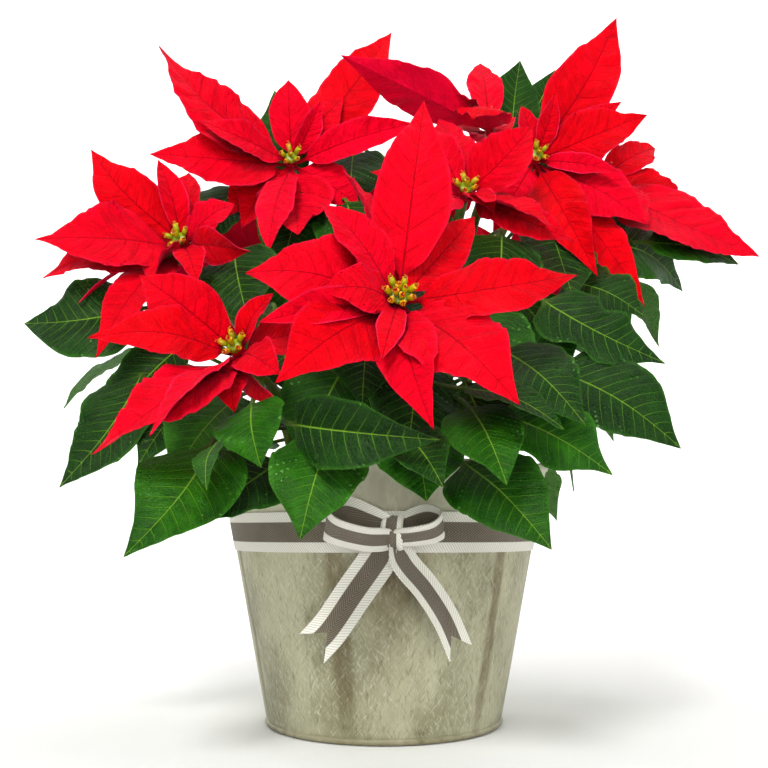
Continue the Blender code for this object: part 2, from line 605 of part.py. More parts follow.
def cup_shapes(shoot):
    """The cluster's base and its cups, which lean out from it in rings. The front's has most."""
    rings = FRONT_CUPS if shoot == SHOOTS["front"] else OTHER_CUPS
    top = rings[0][1] + CUP_BASE_RIM
    place = bloom_frame(shoot)
    base = bmesh.new()
    bmesh.ops.create_cone(
        base, cap_ends=True, segments=8, radius1=min(COLLAR_RADIUS, top - 0.4), radius2=top, depth=CUP_BASE,
        matrix=place @ Matrix.Translation((0, 0, GAP + CUP_BASE / 2)),
    )
    shapes = [base]
    oval = Matrix.Diagonal((CUP_RADIUS, CUP_RADIUS, CUP_LENGTH, 1))
    for count, radius, lean in rings:
        for k in range(count):
            spin = Matrix.Rotation(2 * math.pi * (k + lean / 90) / count, 4, "Z")
            seat = Matrix.Translation((radius, 0, GAP + CUP_BASE - CUP_SINK))
            stand = Matrix.Rotation(math.radians(lean), 4, "Y") @ Matrix.Translation((0, 0, CUP_REACH))
            cup = bmesh.new()
            placed = place @ spin @ seat @ stand @ oval
            bmesh.ops.create_icosphere(cup, subdivisions=1, radius=1, matrix=placed)
            shapes.append(cup)
    return shapes


# Blades

def blade_frame(blade, t):
    """A point on the rib with its side and upward directions. From -1 to 0 is the stalk, then the blade."""
    chord = blade.tip - blade.base
    upward = blade.face - chord * (blade.face.dot(chord) / chord.length_squared)
    upward = Matrix.Rotation(math.radians(blade.turn), 3, chord) @ upward.normalized()
    bow = upward * blade.arch + upward.cross(chord).normalized() * blade.sweep

    def rib(t):
        if t < 0:
            return blade.root.lerp(blade.base, 1 + t)
        return blade.base + chord * t + bow * math.sin(math.pi * t)

    ahead = (rib(min(t + 0.02, 1)) - rib(t - 0.02)).normalized()
    normal = Matrix.Rotation(math.radians(blade.twist * max(t, 0)), 3, chord) @ upward
    normal = (normal - ahead * normal.dot(ahead)).normalized()
    return rib(t), normal.cross(ahead), normal


def stations_of(blade):
    """Where the blade's sections are: along a long stalk, at its end, and along the blade."""
    stalk = (blade.base - blade.root).length
    start = ((STALK_START / stalk - 1, 0.0),) if stalk > 3 * STALK_START else ()
    return start + ((0.0, 0.0),) + blade.outline


def blade_shape(blade, grow=0.0, outer=False):
    """A closed blade: a sphere of four meridians drawn out along the rib, with its faces split alike."""
    shape = bmesh.new()
    sections = stations_of(blade)
    last = len(sections) + 1
    bmesh.ops.create_uvsphere(shape, u_segments=4, v_segments=last, radius=1)
    where = {}
    for vert in shape.verts:
        station = round(math.acos(max(-1, min(1, -vert.co.z))) * last / math.pi)
        from_axis = math.hypot(vert.co.x, vert.co.y) or 1
        where[vert] = (station, round(vert.co.x / from_axis), round(vert.co.y / from_axis))
    for vert, (station, side, lift) in where.items():
        if station in (0, last):
            vert.co = blade.root if station == 0 else blade.tip + (blade.tip - blade.base).normalized() * grow
            continue
        t, share = sections[station - 1]
        centre, sideways, normal = blade_frame(blade, t)
        half = max(STALK_WIDTH / 2, share * blade.width / 2) + grow
        thick = (RIB_THICK if share else STALK_WIDTH * 0.8) / 2 + grow
        fold = math.radians(blade.fold) if share else 0
        wave = blade.wave * share * math.sin(7 * t + 2 * side)
        edge = (sideways * math.cos(fold) * side + normal * math.sin(fold) * abs(side)) * half
        vert.co = centre + edge + normal * (lift * thick + wave * abs(side))
    for face in [f for f in shape.faces if len(f.verts) == 4]:
        low_edge = min((v for v in face.verts if where[v][1]), key=lambda v: where[v][0])
        high_rib = max((v for v in face.verts if where[v][2]), key=lambda v: where[v][0])
        bmesh.utils.face_split(face, low_edge, high_rib)
    if outer:
        first = len(sections) - len(blade.outline) + 1
        inner = [v for v, (station, _, _) in where.items() if station < first]
        bmesh.ops.delete(shape, geom=inner, context="VERTS")
    return shape


def candidates(blade):
    """The blade as drawn, then bent aside in growing steps, first with its own arch, then with others."""
    for arch in ARCH_STEPS:
        for step in range(0, GIVE_STEPS + 1):
            for way in (1, -1) if step else (1,):
                bent = blade._replace(tip=blade.tip + blade.give * GIVE * step * way, arch=blade.arch + arch)
                yield bent, arch == 0 and step <= OWN_GIVE_STEPS


class Thicket:
    """What already stands in the plant, to test a new blade against."""

    def __init__(self):
        self.solid = []
        self.outer = []

    def add(self, node, shape, outer=None):
        self.solid.append((node, BVHTree.FromBMesh(shape)))
        if outer:
            self.outer.append((node, BVHTree.FromBMesh(outer)))

    def crosses_others(self, node, tree):
        return any(other != node and kept.overlap(tree) for other, kept in self.solid)

    def crosses_own(self, node, tree):
        return any(other == node and kept.overlap(tree) for other, kept in self.outer)

    def place(self, blade):
        """The first way to bend the blade that clears every other node, and its own if it can."""
        second_best = None
        for bent, near in candidates(blade):
            if second_best and not near:
                return second_best
            shape = blade_shape(bent, grow=CLEARANCE)
            crossing = self.crosses_others(bent.node, BVHTree.FromBMesh(shape))
            shape.free()
            if crossing:
                continue
            outer = blade_shape(bent, outer=True)
            own = self.crosses_own(bent.node, BVHTree.FromBMesh(outer))
            outer.free()
            if not own:
                return bent
            second_best = second_best or bent
        return second_best


def bracts_of(name):
    """A bloom's bracts as blades. The big ones leave the collar low down, the small ones near its top."""
    shoot = SHOOTS[name]
    facing = Vector(shoot.facing).normalized()
    rows = BRACTS.get(name) or far_bracts(shoot)
    for reach, width, turn, arch, fold, twist, wave, *sweep in rows:
        depth = 2.0 + 4.0 * min(1, width / 40)
        axis = Vector(shoot.hub) - facing * depth
        tip = Vector(shoot.hub) + Vector(reach)
        along = (tip - axis).normalized()
        root = axis - along * ROOT_SINK
        base = axis + (tip - axis) * BRACT_STALK
        give = facing if name in FAR_BLOOMS else (tip - FRONT_POINT).normalized()
        outline = BRACT_OUTLINE if width > 26 else SLIM_OUTLINE
        bends = (width, turn, arch, fold, twist, wave, sum(sweep), outline)
        yield Blade(f"bracts_{name}", root, base, tip, facing, give, *bends)


def far_bracts(shoot):
    """An even rosette: long outer bracts that spread, and short inner ones that stand up more."""
    rng = random.Random(FAR_SEED + round(shoot.hub[0]))
    turn = Vector(shoot.facing).to_track_quat("Z", "Y")
    rows = []
    for count, reach, rise, width in ((FAR_OUTER, 76, 4, 34), (FAR_INNER, 46, 22, 22)):
        for k in range(count):
            clock = 2 * math.pi * (k + 0.3 * rng.random() + (0.5 if count == FAR_INNER else 0)) / count
            long = reach * rng.uniform(0.88, 1.12)
            high = rise * rng.uniform(0.6, 1.4)
            tip = turn @ Vector((long * math.cos(clock), long * math.sin(clock), high))
            rows.append((tip, width * rng.uniform(0.9, 1.1), 0, 9, 8, rng.uniform(-12, 12), 1.5))
    return rows


def leaf_blade(name, share, base, tip, face, give, bends, lobed):
    axis = on_stem(SHOOTS[name], share)
    root = axis - (Vector(base) - axis).normalized() * ROOT_SINK
    outline = LOBED_OUTLINE if lobed else LEAF_OUTLINE
    return Blade(f"stem_leaves_{name}", root, Vector(base), Vector(tip), face, give, *bends, outline)


def front_leaves():
    """The leaves of the front, whose upper sides look forward and a little up."""
    for name, share, base, tip, width, turn, arch, fold, twist, wave, lobed, *sweep in LEAVES:
        face = Vector((tip[0], tip[1], 0)).normalized() * 0.3 + Vector((0, -1, 0.4))
        give = (Vector(tip) - FRONT_POINT).normalized()
        bends = (width, turn, arch, fold, twist, wave, sum(sweep))
        yield leaf_blade(name, share, base, tip, face, give, bends, lobed)


def skirt_leaves():
    """The leaves of the sides and the back: a stalk that rises outwards, then a blade that hangs."""
    rng = random.Random(SKIRT_SEED)
    for name, share, compass, out, height in SKIRT:
        angle = math.radians(compass)
        outward = Vector((math.cos(angle), math.sin(angle), 0))
        tip = outward * out + Vector((0, 0, height))
        width = rng.uniform(38, 46)
        long = rng.uniform(66, 76)
        droop = math.radians(rng.uniform(30, 50))
        base = tip - outward * long * math.cos(droop) + Vector((0, 0, long * math.sin(droop)))
        face = (outward + Vector((0, 0, 1))).normalized()
        bends = (width, 0, 9, 7, rng.uniform(-10, 10), 1.5, 0)
        yield leaf_blade(name, share, base, tip, face, face, bends, rng.random() < 0.3)


def all_blades():
    """Every blade in the order it is placed: the front's bracts and leaves first, then the rest."""
    for name in SHOOTS:
        if name in BRACTS:
            yield from bracts_of(name)
    yield from front_leaves()
    for name in FAR_BLOOMS:
        yield from bracts_of(name)
    yield from skirt_leaves()


def solid_of(obj):
    """An object's evaluated mesh as a bmesh in millimetres."""
    shape = bmesh.new()
    shape.from_object(obj, bpy.context.evaluated_depsgraph_get())
    bmesh.ops.scale(shape, vec=(1 / MM, 1 / MM, 1 / MM), verts=shape.verts)
    return shape


def place_blades(holders, stems):
    """Places every blade clear of the pot, the ribbon, the stems and the blades of other shoots."""
    thicket = Thicket()
    for obj in holders:
        thicket.add(obj.name, solid_of(obj))
    for name, shoot in SHOOTS.items():
        thicket.add(f"stem_leaves_{name}", solid_of(stems[name]))
        thicket.add(f"bracts_{name}", collar_shape(shoot))
        for cup in cup_shapes(shoot):
            thicket.add(f"cyathia_{name}", cup)
    placed = {}
    for blade in all_blades():
        bent = thicket.place(blade)
        if bent:
            thicket.add(bent.node, blade_shape(bent), blade_shape(bent, outer=True))
            placed.setdefault(bent.node, []).append(bent)
    return placed


def grow_plant(collection, holders, red, green, yellow):
    """Each shoot as three nodes: its stem with its leaves, its bracts, and its cups."""
    stems = {name: make_stem(name, shoot, new_collection(f"{name}_stem")) for name, shoot in SHOOTS.items()}
    placed = place_blades(holders, stems)
    for name, shoot in SHOOTS.items():
        leaves = [blade_shape(blade) for blade in placed[f"stem_leaves_{name}"]]
        bracts = [collar_shape(shoot)] + [blade_shape(blade) for blade in placed[f"bracts_{name}"]]
        stem = [stems[name]]
        joined(f"stem_leaves_{name}", stem, leaves, collection, green)
        joined(f"bracts_{name}", [], bracts, collection, red)
        joined(f"cyathia_{name}", [], cup_shapes(shoot), collection, yellow)
        bpy.data.collections.remove(bpy.data.collections[f"{name}_stem"])


def main():
    clear_scene()
    plant = new_collection("poinsettia")
    holes = new_collection("cutters")
    weathered = finish("weathered_pot", (0.34, 0.33, 0.25), 0.6, 0.1)
    earth = finish("dark_soil", (0.03, 0.02, 0.015), 0.95)
    cloth = finish("striped_ribbon", (0.42, 0.40, 0.36), 0.85)
    red = finish("red_bracts", (0.80, 0.0, 0.015), 0.5)
    green = finish("green_leaves", (0.02, 0.10, 0.015), 0.45)
    yellow = finish("yellow_cups", (0.55, 0.50, 0.02), 0.4)

    pot = make_pot(plant, weathered)
    smooth(pot)
    for name, shoot in SHOOTS.items():
        make_hole(name, shoot.foot, holes)
    make_soil(plant, earth, holes)
    band = make_band(plant, cloth)
    smooth(band)
    bow = make_bow(plant, cloth)
    grow_plant(plant, (pot, band, bow), red, green, yellow)


main()
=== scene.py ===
# %% [markdown]
# # A poinsettia in its pot
# This lesson dresses a plain model of a flowering poinsettia: red bracts round small yellow cups, green
# leaves on stalks, a weathered pot and a striped ribbon tied in a bow. The plain model gives the place
# and the form of everything. Here each piece is made again in fine mesh, with veins, folds and finishes.
# Every length in the tables is in millimetres, because that is how a plant is measured with a ruler.

# %% The plain model
import math
import random
from collections import namedtuple

import bpy
import numpy as np
from mathutils import Matrix, Vector, kdtree
from mathutils.bvhtree import BVHTree


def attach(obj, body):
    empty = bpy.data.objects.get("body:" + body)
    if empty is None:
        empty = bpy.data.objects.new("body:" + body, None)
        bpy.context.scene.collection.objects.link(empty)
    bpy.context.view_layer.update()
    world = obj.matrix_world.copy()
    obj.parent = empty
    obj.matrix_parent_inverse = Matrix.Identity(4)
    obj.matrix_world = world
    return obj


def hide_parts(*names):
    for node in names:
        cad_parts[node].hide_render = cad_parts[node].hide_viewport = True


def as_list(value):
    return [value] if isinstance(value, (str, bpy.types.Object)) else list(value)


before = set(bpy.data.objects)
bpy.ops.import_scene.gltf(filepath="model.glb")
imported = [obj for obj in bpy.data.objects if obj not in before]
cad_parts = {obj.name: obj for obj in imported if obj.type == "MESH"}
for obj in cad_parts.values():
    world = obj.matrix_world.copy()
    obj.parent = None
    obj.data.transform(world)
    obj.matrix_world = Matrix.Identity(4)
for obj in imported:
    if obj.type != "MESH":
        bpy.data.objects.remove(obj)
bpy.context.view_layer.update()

MM = 0.001

# %% [markdown]
# ## The camera
# The picture was taken from close by, with the camera a little above the pot's ribbon and tipped up, so
# the lowest blooms look nearer than the top ones. The camera is placed first, because every comparison
# with the picture depends on it. It stays fixed and sharp from front to back.

# %% Camera
CAMERA_PLACE = (0.0, -0.56, 0.1072)
CAMERA_TILT = 98.0
SENSOR = 36.0
FOCAL_SHARE = 985 / 768  # the focal length as a share of the picture's width

eye = bpy.data.objects.new("camera", bpy.data.cameras.new("camera"))
eye.location = CAMERA_PLACE
eye.rotation_euler = (math.radians(CAMERA_TILT), 0, 0)
eye.data.sensor_width = SENSOR
eye.data.lens = SENSOR * FOCAL_SHARE
eye.data.clip_start = 0.01
bpy.context.scene.collection.objects.link(eye)
bpy.context.scene.camera = eye
print("lens", round(eye.data.lens, 2), "mm")

# %% [markdown]
# ## The plant's plan
# A poinsettia bears its blooms at the ends of leafy stems. A bloom has no petals: what looks like petals
# are bracts, leaves that turned red, and the true flowers are the small cups in the middle. Each shoot is
# written down as where its stem stands, where its bloom is and where the bloom looks. Each bract is
# written by its tip from the bloom's middle (right, back, up), then its width, its turn about its own
# length, its arch, its fold along the rib, its twist and the wave of its edge. An eighth number, where
# there is one, is its sweep: how far the rib bows sideways. Drawing by such a table is slower than
# scattering copies, but each blade then stands where it stands on the real plant.

# %% Shoots and bracts
Shoot = namedtuple("Shoot", "foot hub facing")

SHOOTS = {
    "front": Shoot((2, -36), (7, -120, 209), (0.05, -0.95, 0.30)),
    "low_left": Shoot((-33, -28), (-71, -95, 190), (-0.30, -0.85, 0.42)),
    "left": Shoot((-50, 2), (-113, -30, 262), (-0.20, -0.92, 0.32)),
    "top_left": Shoot((-24, 12), (-57, 20, 328), (0.00, -0.95, 0.30)),
    "top_right": Shoot((28, 2), (92, 10, 326), (0.10, -0.96, 0.25)),
    "middle": Shoot((16, -16), (46, -25, 293), (0.10, -0.88, 0.45)),
    "right": Shoot((50, -8), (134, 30, 322), (0.25, -0.88, 0.40)),
    "top": Shoot((14, 30), (67, 32, 357), (0.00, -0.50, 0.85)),
    "back_left": Shoot((-34, 40), (-88, 92, 262), (-0.50, 0.55, 0.67)),
    "back": Shoot((2, 56), (12, 112, 296), (0.00, 0.62, 0.78)),
    "back_right": Shoot((42, 40), (94, 110, 266), (0.52, 0.58, 0.62)),
}

BRACTS = {
    "front": (
        ((13, 25, 106), 38, 0, 5, 8, 0, 0),
        ((80, -10, 8), 36, -8, 10, 6, 0, 1.5, -8),
        ((48, -45, -55), 43, 0, 8, 10, 0, 1.5),
        ((13, -45, -65), 30, 25, 8, 10, 10, 1),
        ((-53, -30, -44), 41, 0, 9, 8, 0, 1.5),
        ((-70, -5, 10), 40, 5, 10, 8, -10, 2),
        ((-27, 25, 70), 34, 42, 4, 24, 20, 2),
        ((-34, -22, -2), 25, 0, 7, 5, 0, 1),
        ((-61, -26, -17), 20, -10, 5, 34, 0, 1),
        ((-12, 40, 53), 24, 0, 0, 8, 0, 0),
        ((-8, -30, -34), 13, 0, 4, 6, 0, 0),
        ((-36, -8, 42), 26, 20, 5, 20, 0, 1),
        ((38, 30, 48), 24, 10, 0, 8, 0, 0),
    ),
    "low_left": (
        ((-44, -15, 32), 31, -10, 8, 10, 0, 1.5, -1),
        ((-64, -25, 0), 30, 0, 9, 8, 0, 1.5),
        ((-51, -55, -55), 38, 0, 9, 8, 0, 2, 9),
        ((-28, -52, -47), 20, 15, 6, 12, 0, 1, 5),
        ((25, -35, -18), 22, 0, 5, 10, 0, 1),
        ((26, -32, -32), 13, 55, 4, 26, 0, 0),
        ((18, -4, 26), 16, 0, 4, 24, 0, 0),
        ((34, 4, 6), 26, 0, 5, 12, 0, 1),
        ((4, -26, -34), 20, 0, 5, 12, 0, 1),
    ),
    "left": (
        ((-70, -30, -8), 44, 0, 8, 8, 0, 1.5, 4),
        ((-65, -30, -29), 38, 10, 8, 8, 0, 1.5),
        ((-55, 10, 57), 32, 0, 5, 8, 10, 1.5, 4),
        ((-14, 0, 47), 18, 35, 4, 28, 0, 1),
        ((0, 18, 46), 26, -10, 4, 12, 0, 1),
        ((-31, -45, -74), 28, 0, 8, 10, 0, 1.5),
        ((-49, -20, -40), 10, 60, 4, 24, 0, 0),
        ((42, -20, -12), 22, 20, 6, 12, 70, 1),
        ((16, -30, -31), 18, -20, 5, 20, 0, 1),
        ((30, 0, 21), 24, 0, 5, 14, 0, 1),
        ((-7, -30, -31), 22, 30, 4, 26, 0, 1),
        ((-40, 52, 8), 30, 0, 8, 8, 0, 1.5),
        ((14, 40, 26), 28, 0, 8, 8, 0, 1.5),
    ),
    "top_left": (
        ((-78, -25, 62), 42, 10, 6, 10, 20, 2, 13),
        ((-80, -30, -8), 44, 0, 9, 12, 0, 1.5, 7),
        ((-54, -20, 17), 22, 0, 5, 14, 0, 1, 3),
        ((-3, 5, 54), 26, 0, 3, 8, 0, 0),
        ((18, -5, 36), 15, 40, 3, 26, 0, 0),
        ((32, 5, 43), 26, -10, 3, 10, 0, 0),
        ((62, 5, 86), 41, 0, 6, 6, 0, 2, -4),
        ((75, -20, 15), 24, 20, 6, 20, 0, 1),
        ((9, -48, -62), 48, 0, -5, 18, 0, 1),
        ((-9, -33, -68), 24, 15, 6, 12, 0, 1),
        ((-28, -14, -48), 34, 0, 6, 10, 0, 1),
        ((44, -4, -34), 30, 0, 5, 10, 0, 1),
        ((-42, 4, -36), 30, 0, 5, 10, 0, 1),
        ((-79, 40, 60), 14, 60, 4, 20, 0, 0, 8),
    ),
    "top_right": (
        ((54, 10, 95), 40, 0, 5, 8, 0, 2, -4),
        ((10, -10, 35), 15, 20, 3, 20, 0, 0),
        ((-10, -10, 28), 14, 0, 3, 20, 0, 0),
        ((64, -15, 20), 38, 0, 7, 8, 0, 1.5, -3),
        ((45, -20, -17), 14, 20, 4, 20, 0, 0),
        ((25, -45, -86), 32, 25, 7, 20, 0, 1.5),
        ((56, -24, -98), 32, 0, 6, 10, 0, 1),
        ((53, 0, 35), 18, 0, 3, 8, 0, 0),
        ((58, -30, -52), 44, 0, 6, 8, 0, 1.5),
        ((8, 6, -44), 30, 0, 5, 10, 0, 1),
        ((-28, -8, -50), 30, 0, 5, 10, 0, 1),
        ((-34, 6, 6), 26, 0, 5, 10, 0, 1),
    ),
    "middle": (
        ((38, -5, 36), 38, 0, 5, 16, 0, 1, -4),
        ((45, -35, -34), 30, -20, 6, 16, 0, 1, -6),
        ((55, -28, -38), 24, 10, 5, 10, 0, 1, -4),
        ((13, -25, -21), 17, 0, 4, 24, 0, 0),
        ((-26, -18, 30), 22, 0, 4, 12, 0, 1),
        ((-34, -34, -30), 24, 0, 6, 10, 0, 1),
        ((-54, 4, 12), 30, 0, 5, 10, 0, 1),
        ((-13, 25, 53), 30, 0, 5, 10, 0, 1),
    ),
    "right": (
        ((86, -30, -61), 56, 0, 4, 8, 0, 2, -8),
        ((62, 18, -20), 34, 0, 9, 8, 0, 1.5),
        ((34, 62, 2), 34, 0, 9, 8, 0, 1.5),
        ((-16, 56, 26), 30, 0, 8, 8, 0, 1.5),
        ((44, 28, 28), 24, 0, 5, 10, 0, 1),
        ((20, -36, -44), 28, 0, 5, 10, 0, 1),
    ),
    "top": (
        ((-94, -18, 36), 34, 68, 1, 12, 0, 2),
        ((-14, -32, -12), 38, 0, 11, -10, 0, 1.5),
        ((-36, -8, 12), 30, 20, 7, 10, 0, 1.5),
        ((-2, 38, 58), 24, 0, 4, 8, 0, 0),
        ((-48, 46, 0), 32, 0, 8, 8, 0, 1.5),
        ((8, 68, 2), 34, 0, 8, 8, 0, 1.5),
        ((44, 52, 12), 30, 0, 7, 8, 0, 1.5),
    ),
}

# %% [markdown]
# ## Leaves
# A leaf starts part of the way up a stem, runs out on a long stalk and ends in a broad blade. Each row
# gives its shoot, how far up the stem it starts, where its stalk ends and where its blade ends (right,
# back, up from the pot's base), then width, turn, arch, fold, twist, wave, whether it has lobes, and for
# some the sweep.

# %% Front leaves
LEAVES = (
    ("low_left", 0.78, (-40, -128, 150), (23, -166, 140), 34, 30, 8, 24, 20, 2, False),
    ("low_left", 0.42, (-80, -108, 142), (-107, -150, 93), 48, 0, 6, 6, 0, 2, False, 7),
    ("front", 0.35, (-24, -125, 144), (-34, -157, 100), 42, 0, 6, 6, 0, 2, False),
    ("front", 0.30, (36, -112, 134), (69, -150, 96), 44, 0, 6, 6, 0, 2, False),
    ("front", 0.26, (14, -116, 142), (18, -140, 116), 42, 0, 5, 8, 0, 2, False),
    ("front", 0.42, (8, -134, 144), (24, -162, 121), 28, -10, 5, 12, 20, 2, False),
    ("front", 0.50, (38, -124, 158), (50, -158, 122), 36, 0, 5, 8, 0, 1, False),
    ("front", 0.62, (36, -126, 166), (76, -146, 146), 26, -30, 5, 14, 0, 1, False),
    ("low_left", 0.40, (-73, -130, 141), (-72, -158, 120), 14, 20, 4, 8, 0, 0, False),
    ("low_left", 0.60, (-60, -116, 160), (-52, -142, 130), 34, 10, 5, 10, 0, 1, False),
    ("low_left", 0.30, (-48, -98, 136), (-86, -122, 107), 38, 10, 5, 8, 0, 1, False, 4),
    ("left", 0.45, (-130, -38, 222), (-190, -50, 211), 52, 0, 5, 8, 0, 1.5, False, 6),
    ("left", 0.30, (-126, -52, 184), (-161, -70, 124), 42, 0, 7, 8, 0, 1.5, False, 9),
    ("left", 0.38, (-108, -44, 200), (-142, -62, 150), 38, 0, 5, 8, 0, 1, False),
    ("left", 0.80, (-150, 16, 292), (-170, 22, 306), 18, 0, 2, 8, 0, 0, False),
    ("middle", 0.42, (84, -48, 224), (145, -60, 188), 44, 0, 6, 8, 0, 1.5, True, -7),
    ("middle", 0.28, (86, -66, 184), (142, -90, 142), 52, 0, 7, 8, 0, 1.5, False),
    ("front", 0.72, (56, -100, 188), (88, -132, 149), 38, 0, 6, 8, 0, 1.5, False),
    ("middle", 0.18, (54, -98, 158), (102, -120, 128), 44, 0, 6, 8, 0, 1.5, True),
    ("right", 0.66, (156, 8, 272), (211, 10, 259), 30, 0, 5, 14, 0, 1.5, False),
    ("right", 0.52, (126, -2, 268), (174, 0, 240), 48, 0, 5, 8, 0, 1.5, False, 8),
    ("right", 0.36, (102, -14, 242), (145, -24, 220), 44, 0, 6, 8, 0, 1.5, True),
    ("top", 0.72, (88, 92, 366), (96, 96, 430), 38, 0, 3, 10, 0, 1, False, 2),
    ("top", 0.76, (98, 96, 376), (121, 98, 424), 24, 0, 3, 10, 0, 1, False),
    ("top_left", 0.84, (-60, 46, 318), (-71, 46, 385), 38, 0, 3, 10, 0, 0, False),
    ("left", 0.72, (-84, -24, 258), (-70, -52, 208), 46, 0, 5, 8, 0, 1.5, False),
    ("top_left", 0.50, (-62, 0, 266), (-46, -26, 214), 48, 0, 5, 8, 0, 1.5, False),
    ("top_left", 0.62, (-22, 6, 296), (-10, -16, 242), 48, 0, 5, 8, 0, 1.5, False),
    ("top_left", 0.40, (-34, -14, 226), (-14, -40, 172), 48, 0, 5, 8, 0, 1.5, False),
    ("top", 0.50, (22, 14, 312), (10, -4, 254), 46, 0, 5, 8, 0, 1.5, False),
    ("middle", 0.66, (64, -40, 262), (56, -66, 208), 44, 0, 5, 8, 0, 1.5, False),
    ("top_right", 0.60, (94, -6, 286), (106, -22, 230), 48, 0, 5, 8, 0, 1.5, False),
    ("right", 0.44, (118, 10, 254), (132, 2, 198), 46, 0, 5, 8, 0, 1.5, False),
    ("middle", 0.36, (44, -66, 212), (64, -94, 166), 46, 0, 5, 8, 0, 1.5, False),
    ("low_left", 0.45, (-72, -72, 170), (-98, -106, 126), 46, 0, 6, 8, 0, 1.5, False),
    ("left", 0.24, (-88, -50, 184), (-120, -80, 134), 46, 0, 6, 8, 0, 1.5, False),
    ("top_right", 0.30, (84, -34, 194), (106, -50, 150), 46, 0, 6, 8, 0, 1.5, False),
    ("front", 0.60, (-20, -92, 180), (-36, -118, 134), 46, 0, 6, 8, 0, 1.5, False),
    ("front", 0.68, (16, -98, 180), (10, -122, 132), 44, 0, 6, 8, 0, 1.5, False),
    ("middle", 0.22, (40, -76, 176), (52, -104, 126), 44, 0, 6, 8, 0, 1.5, False),
    ("left", 0.50, (-58, -46, 220), (-44, -78, 168), 46, 0, 6, 8, 0, 1.5, False),
    ("middle", 0.50, (18, -56, 240), (24, -84, 186), 44, 0, 6, 8, 0, 1.5, False),
    ("top_left", 0.70, (-92, 40, 318), (-112, 16, 268), 48, 0, 5, 8, 0, 1.5, False),
    ("top", 0.70, (-20, 56, 346), (-20, 34, 294), 48, 0, 5, 8, 0, 1.5, False),
    ("middle", 0.60, (74, -22, 232), (98, -42, 184), 46, 0, 5, 8, 0, 1.5, False),
    ("top_left", 0.56, (-50, 8, 300), (-58, -14, 250), 46, 0, 5, 8, 0, 1.5, False),
    ("front", 0.74, (-8, -92, 196), (-10, -112, 160), 40, 0, 5, 8, 0, 1.5, False),
    ("left", 0.86, (-108, 4, 258), (-134, 8, 310), 40, 0, 3, 8, 0, 1, False),
    ("top_right", 0.86, (96, 40, 318), (86, 48, 372), 40, 0, 3, 8, 0, 1, False),
)

# %% [markdown]
# The leaves round the sides and the back follow a rule instead, because no picture shows them: the
# compass angle of the tip, how far out it ends and how high. The blooms that look away from the front
# follow a rule too, an even rosette of long outer bracts and short inner ones.

# %% Side and back leaves
SKIRT = (
    ("middle", 0.24, 350, 118, 138), ("right", 0.22, 6, 128, 142),
    ("right", 0.30, 24, 160, 158), ("back_right", 0.16, 36, 138, 108),
    ("back_right", 0.34, 52, 182, 150), ("back_right", 0.10, 62, 150, 100),
    ("back", 0.12, 78, 164, 108), ("back", 0.26, 92, 182, 152),
    ("back", 0.18, 106, 166, 112), ("back_left", 0.14, 122, 156, 104),
    ("back_left", 0.32, 138, 184, 150), ("back_left", 0.22, 152, 136, 118),
    ("left", 0.22, 170, 134, 126), ("left", 0.34, 184, 180, 170),
    ("back", 0.52, 78, 176, 214), ("back_left", 0.60, 150, 178, 206),
    ("back_right", 0.62, 34, 180, 206), ("top_left", 0.55, 128, 150, 286),
    ("top", 0.60, 72, 142, 296), ("right", 0.50, 16, 180, 216),
    ("back", 0.70, 104, 168, 232),
)
SKIRT_SEED = 5
FAR_BLOOMS = ("back_left", "back", "back_right")
FAR_SEED = 12
FAR_RINGS = ((6, 76, 4, 34), (4, 46, 22, 22))  # each ring: how many, reach, rise and width

# %% [markdown]
# ## The plan of one blade
# Bracts and leaves are the same thing to a modeller: a rib from root to tip, and a width that changes
# along it. An outline gives, from the end of the stalk to the tip, how far along each station is and its
# share of the full width.

# %% Blade plans
BRACT_OUTLINE = ((0.14, 0.64), (0.36, 1.0), (0.61, 0.82), (0.84, 0.31))
SLIM_OUTLINE = ((0.24, 0.82), (0.52, 1.0), (0.80, 0.56))
LEAF_OUTLINE = ((0.09, 0.66), (0.32, 1.0), (0.58, 0.86), (0.82, 0.36))
LOBED_OUTLINE = ((0.09, 0.70), (0.26, 1.0), (0.43, 0.70), (0.58, 0.84), (0.84, 0.26))
STALK_WIDTH = 2.4
BRACT_STALK = 0.11
ROOT_SINK = 2.6
FRONT_POINT = Vector((0, -560, 107))

SOIL_TOP = 124.0
HOLE_DEPTH = 16.0
COLLAR_LENGTH = 8.0
STEM_NECK = 3.0
STEM_STATIONS = 6

Blade = namedtuple("Blade", "node root base tip face give width turn arch fold twist wave sweep outline")


def stem_curve(shoot, share):
    """A point on a stem: out of the soil upwards, and over into the back of the bloom."""
    start = Vector((*shoot.foot, SOIL_TOP))
    facing = Vector(shoot.facing).normalized()
    neck = Vector(shoot.hub) - facing * (COLLAR_LENGTH + 0.3 + STEM_NECK)
    reach = (neck - start).length
    up = start + Vector((0, 0, 0.40 * reach))
    back = neck - facing * 0.30 * reach
    ends = start * (1 - share) ** 3 + neck * share**3
    return ends + up * 3 * share * (1 - share) ** 2 + back * 3 * share**2 * (1 - share)


def on_stem(shoot, share):
    """The same, on the straight stretches of the plain model's stem."""
    place = share * (STEM_STATIONS - 1)
    k = min(int(place), STEM_STATIONS - 2)
    low = stem_curve(shoot, k / (STEM_STATIONS - 1))
    return low.lerp(stem_curve(shoot, (k + 1) / (STEM_STATIONS - 1)), place - k)


